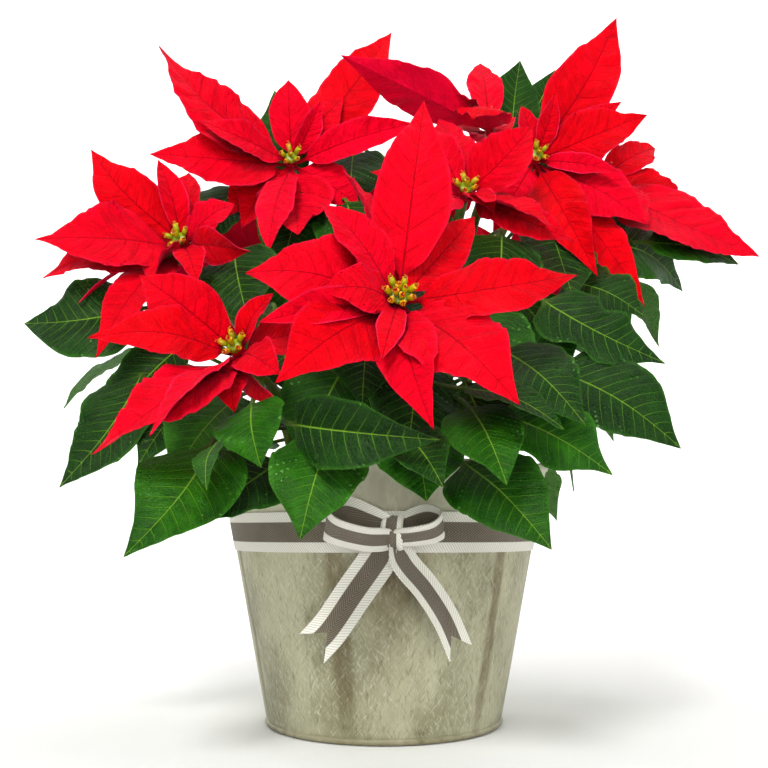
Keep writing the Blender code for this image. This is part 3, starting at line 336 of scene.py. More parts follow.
def far_bracts(shoot):
    rng = random.Random(FAR_SEED + round(shoot.hub[0]))
    turn = Vector(shoot.facing).to_track_quat("Z", "Y")
    for ring, (count, reach, rise, width) in enumerate(FAR_RINGS):
        for k in range(count):
            clock = 2 * math.pi * (k + 0.3 * rng.random() + 0.5 * ring) / count
            long = reach * rng.uniform(0.88, 1.12)
            high = rise * rng.uniform(0.6, 1.4)
            tip = turn @ Vector((long * math.cos(clock), long * math.sin(clock), high))
            yield tip, width * rng.uniform(0.9, 1.1), 0, 9, 8, rng.uniform(-12, 12), 1.5


def bracts_of(name):
    shoot = SHOOTS[name]
    facing = Vector(shoot.facing).normalized()
    for reach, width, turn, arch, fold, twist, wave, *sweep in BRACTS.get(name) or far_bracts(shoot):
        axis = Vector(shoot.hub) - facing * (2.0 + 4.0 * min(1, width / 40))
        tip = Vector(shoot.hub) + Vector(reach)
        root = axis - (tip - axis).normalized() * ROOT_SINK
        base = axis + (tip - axis) * BRACT_STALK
        give = facing if name in FAR_BLOOMS else (tip - FRONT_POINT).normalized()
        outline = BRACT_OUTLINE if width > 26 else SLIM_OUTLINE
        bends = (width, turn, arch, fold, twist, wave, sum(sweep), outline)
        yield Blade(f"bracts_{name}", root, base, tip, facing, give, *bends)


def leaf_blade(name, share, base, tip, face, give, bends, lobed):
    axis = on_stem(SHOOTS[name], share)
    root = axis - (Vector(base) - axis).normalized() * ROOT_SINK
    outline = LOBED_OUTLINE if lobed else LEAF_OUTLINE
    return Blade(f"stem_leaves_{name}", root, Vector(base), Vector(tip), face, give, *bends, outline)


def front_leaves():
    for name, share, base, tip, width, turn, arch, fold, twist, wave, lobed, *sweep in LEAVES:
        face = Vector((tip[0], tip[1], 0)).normalized() * 0.3 + Vector((0, -1, 0.4))
        give = (Vector(tip) - FRONT_POINT).normalized()
        bends = (width, turn, arch, fold, twist, wave, sum(sweep))
        yield leaf_blade(name, share, base, tip, face, give, bends, lobed)


def skirt_leaves():
    rng = random.Random(SKIRT_SEED)
    for name, share, compass, out, height in SKIRT:
        angle = math.radians(compass)
        outward = Vector((math.cos(angle), math.sin(angle), 0))
        tip = outward * out + Vector((0, 0, height))
        width = rng.uniform(38, 46)
        long = rng.uniform(66, 76)
        droop = math.radians(rng.uniform(30, 50))
        base = tip - outward * long * math.cos(droop) + Vector((0, 0, long * math.sin(droop)))
        face = (outward + Vector((0, 0, 1))).normalized()
        bends = (width, 0, 9, 7, rng.uniform(-10, 10), 1.5, 0)
        yield leaf_blade(name, share, base, tip, face, face, bends, rng.random() < 0.3)


plans = [blade for name in SHOOTS for blade in bracts_of(name)]
plans += list(front_leaves()) + list(skirt_leaves())
print(len(plans), "blades planned")

# %% [markdown]
# ## Where each blade really stands
# On the plant two blades never share a place: one gives way. In the plain model each blade was bent
# aside in steps of 5 mm until it was clear, and one that found no room was left out. So each plan is
# tried in the same steps here, and the first whose points are found in the plain model is kept.

# %% Match the plans to the plain model
GIVE = 5.0
GIVE_STEPS = 9
ARCH_STEPS = (0.0, 5.0, -5.0)
SAME_POINT = 0.05


def blade_frame(blade, t):
    """A point on the rib with its sideways and upward directions. -1 to 0 is the stalk, 0 to 1 the blade."""
    chord = blade.tip - blade.base
    upward = blade.face - chord * (blade.face.dot(chord) / chord.length_squared)
    upward = Matrix.Rotation(math.radians(blade.turn), 3, chord) @ upward.normalized()
    bow = upward * blade.arch + upward.cross(chord).normalized() * blade.sweep

    def rib(t):
        if t < 0:
            return blade.root.lerp(blade.base, 1 + t)
        return blade.base + chord * t + bow * math.sin(math.pi * t)

    ahead = (rib(min(t + 0.02, 1)) - rib(t - 0.02)).normalized()
    normal = Matrix.Rotation(math.radians(blade.twist * max(t, 0)), 3, chord) @ upward
    normal = (normal - ahead * normal.dot(ahead)).normalized()
    return rib(t), normal.cross(ahead), normal


def edge_point(blade, station, side):
    """The corner that the plain blade has at a station of its outline."""
    t, share = station
    centre, sideways, normal = blade_frame(blade, t)
    half = max(STALK_WIDTH, share * blade.width) / 2
    fold = math.radians(blade.fold)
    out = (sideways * math.cos(fold) * side + normal * math.sin(fold)) * half
    return centre + out + normal * blade.wave * share * math.sin(7 * t + 2 * side)


def points_of(node):
    """A plain node's points, ready to be searched."""
    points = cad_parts[node].data.vertices
    tree = kdtree.KDTree(len(points))
    for index, point in enumerate(points):
        tree.insert(point.co / MM, index)
    tree.balance()
    return tree


def found_in(tree, blade):
    """Whether the plain model has this blade: its tip and some corner of its outer stations."""
    if tree.find(blade.tip)[2] > SAME_POINT:
        return False
    corners = [edge_point(blade, station, side) for station in blade.outline[1:] for side in (-1, 1)]
    return sum(tree.find(corner)[2] < SAME_POINT for corner in corners) >= 2


def settled(blade, tree):
    for arch in ARCH_STEPS:
        for step in range(GIVE_STEPS + 1):
            for way in (1, -1) if step else (1,):
                bent = blade._replace(tip=blade.tip + blade.give * GIVE * step * way, arch=blade.arch + arch)
                if found_in(tree, bent):
                    return bent
    return None


blades = {node: [] for node in sorted({plan.node for plan in plans})}
trees = {node: points_of(node) for node in blades}
for plan in plans:
    bent = settled(plan, trees[plan.node])
    if bent:
        blades[plan.node].append(bent)
print(sum(len(found) for found in blades.values()), "of", len(plans), "blades found in the plain model")

# %% [markdown]
# ## A fine blade
# A real bract is a fraction of a millimetre thick. Its width grows and shrinks in one smooth line, its
# margin waves, and between the side veins the skin swells a little, like a quilt. A subdivision surface
# would round off the plain blade but give none of that. So the blade is built as a grid: rows along the
# rib, columns out to the margin, with the swell, the waves and the rib's groove worked out for all the
# grid's points at once. Each point also remembers where it is on the blade, for the veins' colours.

# %% The line of an outline
ROW_STEP = 1.9
COLUMN_STEP = 2.0
SKIN = 0.30  # half the thickness of a blade
MARGIN_SKIN = 0.12
STALK_RADIUS = 1.15


def smooth_share(stations, t):
    """The share of the width at each t, on one smooth line through the stations that never overshoots."""
    where, share = np.array(stations).T
    slope = np.diff(share) / np.diff(where)
    bend = np.zeros(len(where))
    for k in range(1, len(slope)):
        if slope[k - 1] * slope[k] > 0:
            bend[k] = 2 * slope[k - 1] * slope[k] / (slope[k - 1] + slope[k])
    bend[0], bend[-1] = slope[0] * 1.4, slope[-1] * 0.8
    k = np.clip(np.searchsorted(where, t) - 1, 0, len(slope) - 1)
    gap = where[k + 1] - where[k]
    u = np.clip((t - where[k]) / gap, 0, 1)
    near = (1 + 2 * u) * (1 - u) ** 2 * share[k] + u**2 * (3 - 2 * u) * share[k + 1]
    return near + gap * (u * (1 - u) ** 2 * bend[k] - u**2 * (1 - u) * bend[k + 1])


def ease(x, low, high):
    x = np.clip((x - low) / (high - low), 0, 1)
    return x * x * (3 - 2 * x)


print("shares of a bract:", smooth_share(((0, 0.06), *BRACT_OUTLINE, (1, 0)), np.linspace(0, 1, 6)).round(2))

# %% [markdown]
# The stalk is a round twig that the blade grows out of. Its line leaves the stem straight and swings
# into the rib's own direction. Where it meets the blade, the twig becomes the rib's ridge underneath.

# %% Rows along the rib
def rows_of(blade):
    """Where the rows are, and the point, sideways and upward direction at each."""
    stalk = (blade.base - blade.root).length
    long = (blade.tip - blade.base).length
    on_stalk = -np.linspace(1, 0, max(3, round(stalk / 5)), endpoint=False)
    on_blade = np.linspace(0, 1, max(12, round(long / ROW_STEP)) + 1)[:-1]
    rows = np.concatenate([on_stalk, on_blade, [0.985]])
    _, _, up = blade_frame(blade, 0.02)
    start = blade.root + (blade.base - blade.root) / 3
    into = blade_frame(blade, 0.03)[0] - blade.base
    end = blade.base - into.normalized() * stalk / 3
    places, sides, ups = [], [], []
    for t in rows:
        if t >= 0:
            place, side, normal = blade_frame(blade, t)
        else:
            s = 1 + t
            place = blade.root * (1 - s) ** 3 + start * 3 * s * (1 - s) ** 2
            place = place + end * 3 * s * s * (1 - s) + blade.base * s**3
            ahead = (start - blade.root).lerp(blade.base - end, s).normalized()
            normal = (up - ahead * up.dot(ahead)).normalized()
            side = normal.cross(ahead)
        places.append(place)
        sides.append(side)
        ups.append(normal)
    return rows, np.array(places), np.array(sides), np.array(ups)


# %% [markdown]
# ## How open each point lies
# Between the blooms the picture is nearly black: little light finds its way in there, and red skin throws
# back only red. Soft lamps alone leave such places too light. So every blade is felt round: from a few
# points on both its sides, rays go out to see how far they get before the plain model stops them. The
# mean share is how open the point lies, and the finishes are deeper in colour where it is low.

# %% Openness
# The openness feeds painted shade only: the blade finishes paint their colour darker where it is low.
FEEL_REACH = 75.0
FEEL_RAYS = 20
FEEL_OUT = 0.75  # how far towards the margin the outer points of a row are


def feel_ways():
    """Directions over the half-sphere round Z, most of them near Z."""
    order = np.arange(FEEL_RAYS) + 0.5
    rise = np.sqrt(1 - order / FEEL_RAYS)
    turn = math.pi * (1 + math.sqrt(5)) * order
    flat = np.sqrt(1 - rise**2)
    return [Vector(way) for way in np.stack([flat * np.cos(turn), flat * np.sin(turn), rise], axis=1)]


def whole_plant():
    """All the plain pieces as one tree that rays can be sent into."""
    points, faces = [], []
    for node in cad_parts.values():
        start = len(points)
        points += [point.co / MM for point in node.data.vertices]
        faces += [[start + index for index in face.vertices] for face in node.data.polygons]
    return BVHTree.FromPolygons(points, faces)


FEEL_WAYS = feel_ways()
plant_tree = whole_plant()


def openness(place, away):
    """0 where the plant closes in on a place at once, 1 where nothing is near."""
    turn = away.to_track_quat("Z", "Y")
    hits = [plant_tree.ray_cast(place + away * 2.0, turn @ way, FEEL_REACH)[3] for way in FEEL_WAYS]
    return sum(1.0 if hit is None else hit / FEEL_REACH for hit in hits) / FEEL_RAYS


def softened(felt):
    """Each value moved halfway to the mean of its neighbours."""
    wide = np.pad(felt, ((0, 0), (1, 1), (1, 1)), mode="edge")
    near = (wide[:, :-2, 1:-1] + wide[:, 2:, 1:-1] + wide[:, 1:-1, :-2] + wide[:, 1:-1, 2:]) / 4
    return (felt + near) / 2


def felt_along(blade, t, v):
    """The openness of a blade's upper and lower side at each row t and column v."""
    stations = ((0.04, 0.1), *blade.outline, (0.96, 0.08))
    felt = np.zeros((2, len(stations), 3))
    for i, station in enumerate(stations):
        rib, _, normal = blade_frame(blade, station[0])
        left, right = (rib.lerp(edge_point(blade, station, side), FEEL_OUT) for side in (-1, 1))
        for j, place in enumerate((left, rib, right)):
            felt[:, i, j] = openness(place, normal), openness(place, -normal)
    rows, columns = [station[0] for station in stations], (-FEEL_OUT, 0.0, FEEL_OUT)
    sides = []
    for side in softened(felt):
        along = np.stack([np.interp(t, rows, side[:, j]) for j in range(3)], axis=1)
        sides.append(np.stack([np.interp(v, columns, row) for row in along]))
    return sides


print("the front bloom's middle is", round(openness(Vector((0, -170, 200)), Vector((0, -1, 0))), 2), "open")

# %% [markdown]
# ## Relief
# The relief is a height over the flat blade. The swell between two veins comes from a phase that counts
# the veins: it is a whole number on a vein and a half between two. The veins leave the rib at about 60
# degrees and curve towards the tip. Bracts crease too: soft creases run out from the rib with the veins,
# at no even distance. Real margins wave in a way of their own on each blade, so each draws its waves and
# creases from a seed.

# %% The blade's relief
BRACT_VEINS = 8.5
LEAF_VEINS = 11.5


def creases(phase, rng):
    """A wandering line of creases over the phase, between about -1 and 1."""
    line = 0.0
    for count in (0.37, 0.61, 0.93, 1.45):
        line = line + rng.uniform(0.5, 1.0) * np.sin(2 * np.pi * count * phase + rng.uniform(0, 6.3))
    return line / 2.2


def relief_of(blade, t, v, half, rng):
    """The height of each point over the flat blade, and its phase between the side veins."""
    is_leaf = blade.node.startswith("stem")
    long = (blade.tip - blade.base).length
    big = min(1.0, blade.width / 36)
    out = np.abs(v) * half
    spacing = long / (LEAF_VEINS if is_leaf else BRACT_VEINS)
    lean = np.where(v > 0, rng.uniform(0.5, 0.64), rng.uniform(0.5, 0.64))
    phase = (t * long - lean * out - 0.42 * out * out / blade.width) / spacing
    phase = phase + 0.12 * np.sin(5 * t + 3 * v + rng.uniform(0, 6))
    swell = np.abs(np.sin(np.pi * phase)) ** 0.8 - 0.5
    lengthways = np.sin(np.pi * np.clip(t, 0, 1))
    fade = ease(out, 0.5, 0.25 * blade.width) * (1 - ease(np.abs(v), 0.72, 1.0)) * lengthways**0.6
    height = swell * fade * big * (0.95 if is_leaf else 0.35) * rng.uniform(0.8, 1.2)
    crease = np.where(v > 0, creases(phase, rng), creases(phase, rng))
    height = height + crease * ease(out, 0.5, 7.0) * big * lengthways**0.7 * (0.5 if is_leaf else 1.0)
    middle = lengthways**0.7
    ruffle = 1.0 if is_leaf else 1.35
    for count, size, power in ((1.6, 1.3, 2.0), (3.4, 0.8, 3.0), (7.1, 0.35, 5.0)):
        turns = 2 * np.pi * count * (1 + 0.2 * rng.uniform(-1, 1)) * t
        start = np.where(v > 0, rng.uniform(0, 6.3), rng.uniform(0, 6.3))
        grown = size * big * ruffle * rng.uniform(0.6, 1.2)
        height = height + grown * middle * np.abs(v) ** power * np.sin(turns + start)
    camber = rng.uniform(-0.03, 0.09) * blade.width
    height = height - camber * np.abs(v) ** 2 * (half / blade.width * 2) ** 2 * 0.5
    edge_wave = blade.wave * (2 * half / blade.width) * np.abs(v) ** 1.5
    height = height + edge_wave * np.sin(7 * t + 2 * np.sign(v))
    return height, phase


# %% [markdown]
# ## The grid
# The grid of a blade is two skins, the upper and the lower, a fraction of a millimetre apart and joined
# at the margin. Near the root both close into the round stalk. The rib is a groove above and a ridge
# below.

# %% The blade's grid
def grid_of(blade, rng):
    """A blade's points, its faces and what each point knows: its place, its phase and its side."""
    is_leaf = blade.node.startswith("stem")
    long = (blade.tip - blade.base).length
    rows, places, sides, ups = rows_of(blade)
    count = int(np.clip(round(blade.width / 2 / COLUMN_STEP), 3, 10))
    v = np.linspace(-1, 1, 2 * count + 1)
    v = np.sign(v) * np.abs(v) ** 1.2
    t, v = rows[:, None], v[None, :]
    stations = ((0, STALK_WIDTH / blade.width), *blade.outline, (1, 0))
    share = np.where(t < 0, STALK_WIDTH / blade.width, smooth_share(stations, np.clip(t, 0, 1)))
    uneven = 1 + 0.03 * np.sin(9 * t + rng.uniform(0, 6)) * np.sign(v)
    half = share * blade.width / 2 * uneven
    flat = ease(t, -0.02, 0.10)
    lifted, phase = relief_of(blade, t, v, half, rng)
    fold = math.radians(blade.fold)
    out = v * half
    ridge = np.sqrt(out * out + 1.0) - 1.0
    raised = (lifted + ridge * math.sin(fold)) * flat
    tube_out, tube_up = STALK_RADIUS * np.sin(v * np.pi / 2), STALK_RADIUS * np.cos(v * np.pi / 2)
    out = out * math.cos(fold) * flat + tube_out * (1 - flat)
    skin = np.minimum(SKIN * (1 - v**4) + MARGIN_SKIN * v**4, 0.5 * half + 0.02)
    taper = 1 - 0.75 * np.clip(t, 0, 1)
    groove = 0.28 * taper * np.exp(-(out / 0.9) ** 2)
    keel = 0.85 * taper * np.exp(-(out / 1.0) ** 2)
    over = raised + (skin - groove) * flat + tube_up * (1 - flat)
    under = raised - (skin + keel) * flat - tube_up * (1 - flat)
    upper = places[:, None] + sides[:, None] * out[..., None] + ups[:, None] * over[..., None]
    lower = places[:, None] + sides[:, None] * out[..., None] + ups[:, None] * under[..., None]
    ring = np.concatenate([upper, lower[:, ::-1]], axis=1)
    points = np.concatenate([ring.reshape(-1, 3), [blade.root, blade.tip]])

    def around(value, extra):
        """The same value for the upper and the lower side, then for the root and the tip."""
        value = np.broadcast_to(value, out.shape)
        return np.concatenate([np.concatenate([value, value[:, ::-1]], axis=1).ravel(), extra])

    below = np.concatenate([np.zeros(out.shape), np.ones(out.shape)], axis=1).ravel()
    knows = {
        "on_blade": np.stack([around(t * long, [-long, long]), around(v * half, [0, 0]),
                              np.full(len(points), rng.uniform(0, 99))], axis=1),
        "veins": np.stack([around(phase, [0, 0]), around(t, [-1, 1]), around(np.abs(v), [0, 0])], axis=1),
        "side": np.stack([np.append(below, [0, 0]), np.full(len(points), rng.random()),
                          around(1 - flat, [1, 0])], axis=1),
        "kind": np.full(len(points), min(1.0, max(0.0, (26 - blade.width) / 14))),
    }
    # The openness of both sides is kept for the finishes' painted shade. Along the stalk it is lowered, so
    # the stalk gets deeper painted shade towards the stem.
    above, beneath = felt_along(blade, rows, v[0])
    deep = 1 - 0.5 * ease(-t, 0.0, 0.7)
    felt = np.concatenate([above * deep, (beneath * deep)[:, ::-1]], axis=1)
    knows["open"] = np.append(felt.ravel(), [felt[0, 0], felt[-1, 0]])
    wide = ring.shape[1]
    first = np.arange(len(rows) - 1)[:, None] * wide + np.arange(wide)[None, :]
    after = first - np.arange(wide) + (np.arange(wide) + 1) % wide
    quads = np.stack([first, first + wide, after + wide, after], axis=-1).reshape(-1, 4)
    root, tip = len(points) - 2, len(points) - 1
    last = (len(rows) - 1) * wide
    caps = [(root, k, (k + 1) % wide) for k in range(wide)]
    caps += [(tip, last + (k + 1) % wide, last + k) for k in range(wide)]
    return points, quads.tolist() + caps, knows


first_rng = random.Random(1)
points, faces, knows = grid_of(blades["bracts_front"][0], first_rng)
print("the front bloom's first bract has", len(points), "points and", len(faces), "faces")

# %% [markdown]
# ## From points to pieces
# All the blades of one shoot become one piece, in the place of the plain piece of the same name. Smooth
# shading hides the facets, and only the thin margin is marked sharp, so the light breaks there.

# %% Make a piece
SHARP = math.radians(60)


def joined(parts):
    """Several (points, faces, knows) as one."""
    start, faces = 0, []
    for points, some, _ in parts:
        faces += [tuple(index + start for index in face) for face in some]
        start += len(points)
    points = np.concatenate([part[0] for part in parts])
    knows = {name: np.concatenate([part[2][name] for part in parts]) for name in parts[0][2]}
    return points, faces, knows


def make_piece(name, part, material, node=None):
    """A smooth mesh from points in millimetres, which rides with the plant and takes a node's place."""
    points, faces, knows = part
    mesh = bpy.data.meshes.new(name)
    mesh.from_pydata((np.asarray(points) * MM).tolist(), [], faces)
    for key, values in knows.items():
        kind, field = ("FLOAT_VECTOR", "vector") if values.ndim == 2 else ("FLOAT", "value")
        mesh.attributes.new(key, kind, "POINT").data.foreach_set(field, values.astype(np.float32).ravel())
    mesh.shade_smooth()
    mesh.set_sharp_from_angle(angle=SHARP)
    piece = bpy.data.objects.new(name, mesh)
    bpy.context.scene.collection.objects.link(piece)
    mesh.materials.append(material)
    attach(piece, "root")
    if node:
        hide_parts(node)
    return piece


def triangles(piece):
    return sum(len(face.vertices) - 2 for face in piece.data.polygons)


# %% [markdown]
# ## Stems
# A stem is a green rod that bends over under its bloom, a little thicker where a leaf starts. It could be
# a curve with a bevel, but a tube of rings lets it swell at each leaf, so it is built like the blades.

# %% Stems and collars
STEM_RADIUS = 3.2
STEM_RINGS = 64
STEM_SIDES = 14
COLLAR_RADIUS = 3.4


def openness_along(path, above):
    """How open a thin rod lies, felt at every eighth ring on two sides of it."""
    at = list(range(0, len(path), 8)) + [len(path) - 1]
    felt = []
    for k in at:
        place, away = Vector(path[k]), Vector(above[k]).normalized()
        felt.append((openness(place + away * 2, away) + openness(place - away * 2, -away)) / 2)
    return np.interp(np.arange(len(path)), at, felt)


def tube_of(path, radii, sides, tint):
    """A closed round tube along a path, with the same knowledge as a blade's stalk."""
    path = np.array(path)
    ahead = np.gradient(path, axis=0)
    ahead /= np.linalg.norm(ahead, axis=1)[:, None]
    aside = np.cross(ahead, (0.31, 0.95, 0.02))
    aside /= np.linalg.norm(aside, axis=1)[:, None]
    above = np.cross(aside, ahead)
    turn = np.linspace(0, 2 * np.pi, sides, endpoint=False)
    ring = aside[:, None] * np.cos(turn)[None, :, None] + above[:, None] * np.sin(turn)[None, :, None]
    points = path[:, None] + ring * np.asarray(radii)[:, None, None]
    along = np.concatenate([[0], np.cumsum(np.linalg.norm(np.diff(path, axis=0), axis=1))])
    count = len(path)
    first = np.arange(count - 1)[:, None] * sides + np.arange(sides)[None, :]
    after = first - np.arange(sides) + (np.arange(sides) + 1) % sides
    quads = np.stack([first, after, after + sides, first + sides], axis=-1).reshape(-1, 4).tolist()
    caps = [tuple(range(sides))[::-1], tuple(range((count - 1) * sides, count * sides))]
    total = count * sides
    place = np.stack([np.repeat(along, sides), np.tile(turn * 3, count), np.full(total, tint * 50)], axis=1)
    knows = {
        "on_blade": place,
        "veins": np.stack([np.full(total, 0.5), np.full(total, -1.0), np.zeros(total)], axis=1),
        "side": np.stack([np.zeros(total), np.full(total, tint), np.ones(total)], axis=1),
        "kind": np.zeros(total),
        # The openness gives stems and collars painted shade in their finishes.
        "open": np.repeat(openness_along(path, above), sides),
    }
    return points.reshape(-1, 3), quads + caps, knows


def stem_of(name, rng):
    shoot = SHOOTS[name]
    facing = Vector(shoot.facing).normalized()
    end = Vector(shoot.hub) - facing * (COLLAR_LENGTH + 0.3)
    shares = np.linspace(0, 1, STEM_RINGS)
    path = [Vector((*shoot.foot, SOIL_TOP - HOLE_DEPTH + 0.5))]
    path += [stem_curve(shoot, share) for share in shares] + [end]
    starts = [row[1] for row in LEAVES + SKIRT if row[0] == name]
    radii = STEM_RADIUS - 0.35 * shares
    for start in starts:
        radii = radii + 0.45 * np.exp(-((shares - start) / 0.012) ** 2)
    radii = np.concatenate([[radii[0]], radii, [radii[-1]]])
    return tube_of(path, np.minimum(radii, STEM_RADIUS + 0.25), STEM_SIDES, rng.random())


def collar_of(name, rng):
    shoot = SHOOTS[name]
    facing = Vector(shoot.facing).normalized()
    shape = ((8.0, 2.7), (7.4, 3.0), (5.0, 3.1), (3.0, 3.5), (1.0, 3.5), (0.3, 3.3), (0.0, 2.8))
    path = [Vector(shoot.hub) - facing * back for back, _ in shape]
    return tube_of(path, [radius for _, radius in shape], STEM_SIDES, rng.random())


print("a stem has", len(stem_of("front", random.Random(2))[0]), "points")

# %% [markdown]
# ## The cups in the middle
# The true flowers sit in small green cups, a few millimetres across, in a cluster on the collar. Each cup
# has a yellow rim, a thick yellow lip at one side that makes nectar, and red stamens in its mouth. They
# are far too small to sculpt, so a cup is turned from a profile and its lip and stamens are set on it.

# %% Cups
CUP_RINGS = {True: ((7, 3.2, 36, 1.0), (4, 1.3, 14, 0.95)), False: ((5, 2.3, 42, 0.95), (1, 0.0, 0, 1.0))}
CUP_SHAPE = ((0.0, 0.9), (0.6, 1.1), (1.15, 2.0), (1.55, 3.4), (1.68, 4.7), (1.55, 6.0), (1.28, 6.9),
             (1.22, 7.25), (1.34, 7.5), (1.22, 7.62), (0.98, 7.4), (0.86, 6.9), (0.55, 6.7), (0.0, 6.75))
CUP_PAINT = ((0.1, 0), (0.1, 0), (0.15, 0), (0.3, 0), (0.45, 0), (0.6, 0), (0.75, 0), (0.9, 0.15),
             (1, 0.35), (1, 0.5), (0.6, 0.9), (0.2, 1), (0.1, 1), (0.1, 1))
CUP_SIDES = 12


def turned_of(shape, paint, sides, seed):
    """A profile of (radius, height) turned round Z, with its paint: how yellow and how red."""
    turn = np.linspace(0, 2 * np.pi, sides, endpoint=False)
    points, knows, rows = [], [], []
    for (radius, height), (yellow, red) in zip(shape, paint):
        if radius == 0:
            rows.append([len(points)])
            points.append((0, 0, height))
        else:
            rows.append(list(range(len(points), len(points) + sides)))
            points += [(radius * math.cos(a), radius * math.sin(a), height) for a in turn]
        knows += [(yellow, red, seed)] * (len(points) - len(knows))
    faces = []
    for low, high in zip(rows, rows[1:]):
        for k in range(sides):
            a, b = low[k % len(low)], low[(k + 1) % len(low)]
            c, d = high[(k + 1) % len(high)], high[k % len(high)]
            faces.append(tuple(dict.fromkeys((a, b, c, d))))
    return np.array(points, float), faces, {"cup": np.array(knows, float)}


def moved(part, place):
    points, faces, knows = part
    place = np.array(place)
    return points @ place[:3, :3].T + place[:3, 3], faces, knows


def ball_of(radii, paint, seed, sides=8):
    shape = [(math.sin(a), -math.cos(a)) for a in np.linspace(0, math.pi, 6)]
    shape[0], shape[-1] = (0, -1), (0, 1)
    ball = turned_of(shape, [paint] * len(shape), sides, seed)
    return moved(ball, Matrix.Diagonal((*radii, 1)))


def cup_of(rng):
    """One cup with its lip and its stamens, standing on the origin."""
    seed = rng.random()
    parts = [turned_of(CUP_SHAPE, CUP_PAINT, CUP_SIDES, seed)]
    side = rng.uniform(0, 360)
    spin = Matrix.Rotation(math.radians(side), 4, "Z")
    lip = spin @ Matrix.Translation((1.45, 0, 6.55)) @ Matrix.Rotation(math.radians(28), 4, "Y")
    parts.append(moved(ball_of((0.62, 1.15, 0.78), (1.0, 0.05), seed), lip))
    swelling = ball_of((0.34, 0.80, 0.42), (0.8, 0.75), seed)
    parts.append(moved(swelling, lip @ Matrix.Translation((0.34, 0, 0.34))))
    for k in range(rng.choice((4, 5, 6))):
        lean = Matrix.Rotation(math.radians(rng.uniform(0, 360)), 4, "Z")
        lean = lean @ Matrix.Rotation(math.radians(rng.uniform(6, 30)), 4, "Y")
        tall = rng.uniform(0.6, 1.3)
        stand = Matrix.Translation((0, 0, 6.6)) @ lean
        thread = ball_of((0.16, 0.16, tall), (0.1, 1.0), seed, 6)
        parts.append(moved(thread, stand @ Matrix.Translation((0, 0, tall))))
        tipped = stand @ Matrix.Translation((0, 0, 2 * tall))
        parts.append(moved(ball_of((0.30, 0.30, 0.24), (0.9, 0.35), seed, 6), tipped))
    return joined(parts)


def cups_of(name):
    """The base and the cups of one bloom, each cup a little different from its neighbours."""
    shoot = SHOOTS[name]
    rng = random.Random(f"cups {name}")
    rings = CUP_RINGS[name == "front"]
    top = {True: 4.9, False: 3.8}[name == "front"]
    facing = Vector(shoot.facing).to_track_quat("Z", "Y").to_matrix().to_4x4()
    place = Matrix.Translation(shoot.hub) @ facing
    shape = ((0, 0.3), (min(3.4, top - 0.4), 0.3), (top - 0.1, 1.6), (top, 2.6), (top - 0.8, 3.2), (0, 3.3))
    parts = [moved(turned_of(shape, [(0.15, 0.0)] * 6, 20, 0.5), place)]
    for count, radius, lean, size in rings:
        for k in range(count):
            spin = Matrix.Rotation(2 * math.pi * (k + lean / 90 + rng.uniform(-0.08, 0.08)) / count, 4, "Z")
            stand = Matrix.Translation((radius, 0, 1.6))
            stand = stand @ Matrix.Rotation(math.radians(lean + rng.uniform(-5, 5)), 4, "Y")
            grown = Matrix.Scale(size * rng.uniform(0.86, 1.0), 4)
            parts.append(moved(cup_of(rng), place @ spin @ stand @ grown))
    return joined(parts)


print("the front bloom's cups have", len(cups_of("front")[0]), "points")

# %% [markdown]
# ## The pot
# The pot is a tapered shell of thin sheet with a rolled bead at the foot and at the rim. It is turned
# from a profile with far more sides than the plain one, so its outline is a true circle at the beads.

# %% The pot's shape
POT_HEIGHT = 138.0
POT_FOOT_RADIUS = 63.4
POT_FLARE = 0.2
POT_WALL = 1.6
POT_FLOOR = 3.0
POT_BEAD = 1.6
POT_SIDES = 180


def pot_radius(height):
    return POT_FOOT_RADIUS + POT_FLARE * height


def bead(radius, height, start, stop, steps):
    turn = np.radians(np.linspace(start, stop, steps + 1))
    return [(radius + POT_BEAD * math.cos(a), height + POT_BEAD * math.sin(a)) for a in turn]


def pot_shape():
    rim = POT_HEIGHT - POT_BEAD
    inside = [(0, POT_FLOOR)] + [(r, POT_FLOOR) for r in (20, 40, 55)]
    inside += [(pot_radius(z) - POT_WALL, z) for z in (POT_FLOOR, 4, 60, 120, rim - 1, rim)]
    outside = [(pot_radius(z), z) for z in np.linspace(rim - 3.2, 4.0, 40)]
    foot = bead(POT_FOOT_RADIUS - 0.4, POT_BEAD, 60, -90, 12)
    return inside + bead(pot_radius(rim) - 0.4, rim, 150, -85, 18) + outside + foot + [(30, 0), (0, 0)]


def turned_piece(shape, sides):
    """The same turning as the cups', for a shape that needs no paint."""
    points, faces, _ = turned_of(shape, [(0, 0)] * len(shape), sides, 0)
    return points, faces, {}


print("the pot's profile has", len(pot_shape()), "points")

# %% [markdown]
# ## The soil
# Potting soil is loose: dark crumbs with a few pale grains. The leaves hide it from the front, but it
# shows from above. Its top is a disc of rings whose points are lifted by sums of sines and a little
# chance, inside the plain soil's height.

# %% The soil's shape
SOIL_SIDES = 120
SOIL_CROWN = 3.0


def soil_part():
    edge = SOIL_TOP - SOIL_CROWN
    outer = pot_radius(edge) - POT_WALL - 0.5
    floor = POT_FLOOR + 0.3
    shape = [(0, floor), (pot_radius(floor) - POT_WALL - 0.5, floor), (outer, edge - 1.2)]
    shape += [(outer * (1 - k / 44), edge - 1 + 3.2 * (1 - (1 - k / 44) ** 2)) for k in range(1, 44)]
    shape += [(0, SOIL_TOP - 0.8)]
    points, faces, knows = turned_piece(shape, SOIL_SIDES)
    rng = np.random.default_rng(3)
    x, y, z = points.T
    lumps = np.sin(x / 3.1 + np.sin(y / 4.3) * 2) * np.cos(y / 2.7 + np.sin(x / 5.1) * 2)
    lumps = lumps * 0.5 + rng.uniform(-0.7, 0.7, len(x))
    points[:, 2] += np.where(z > edge - 1.1, lumps, 0)
    return points, faces, knows


print("the soil has", len(soil_part()[0]), "points")

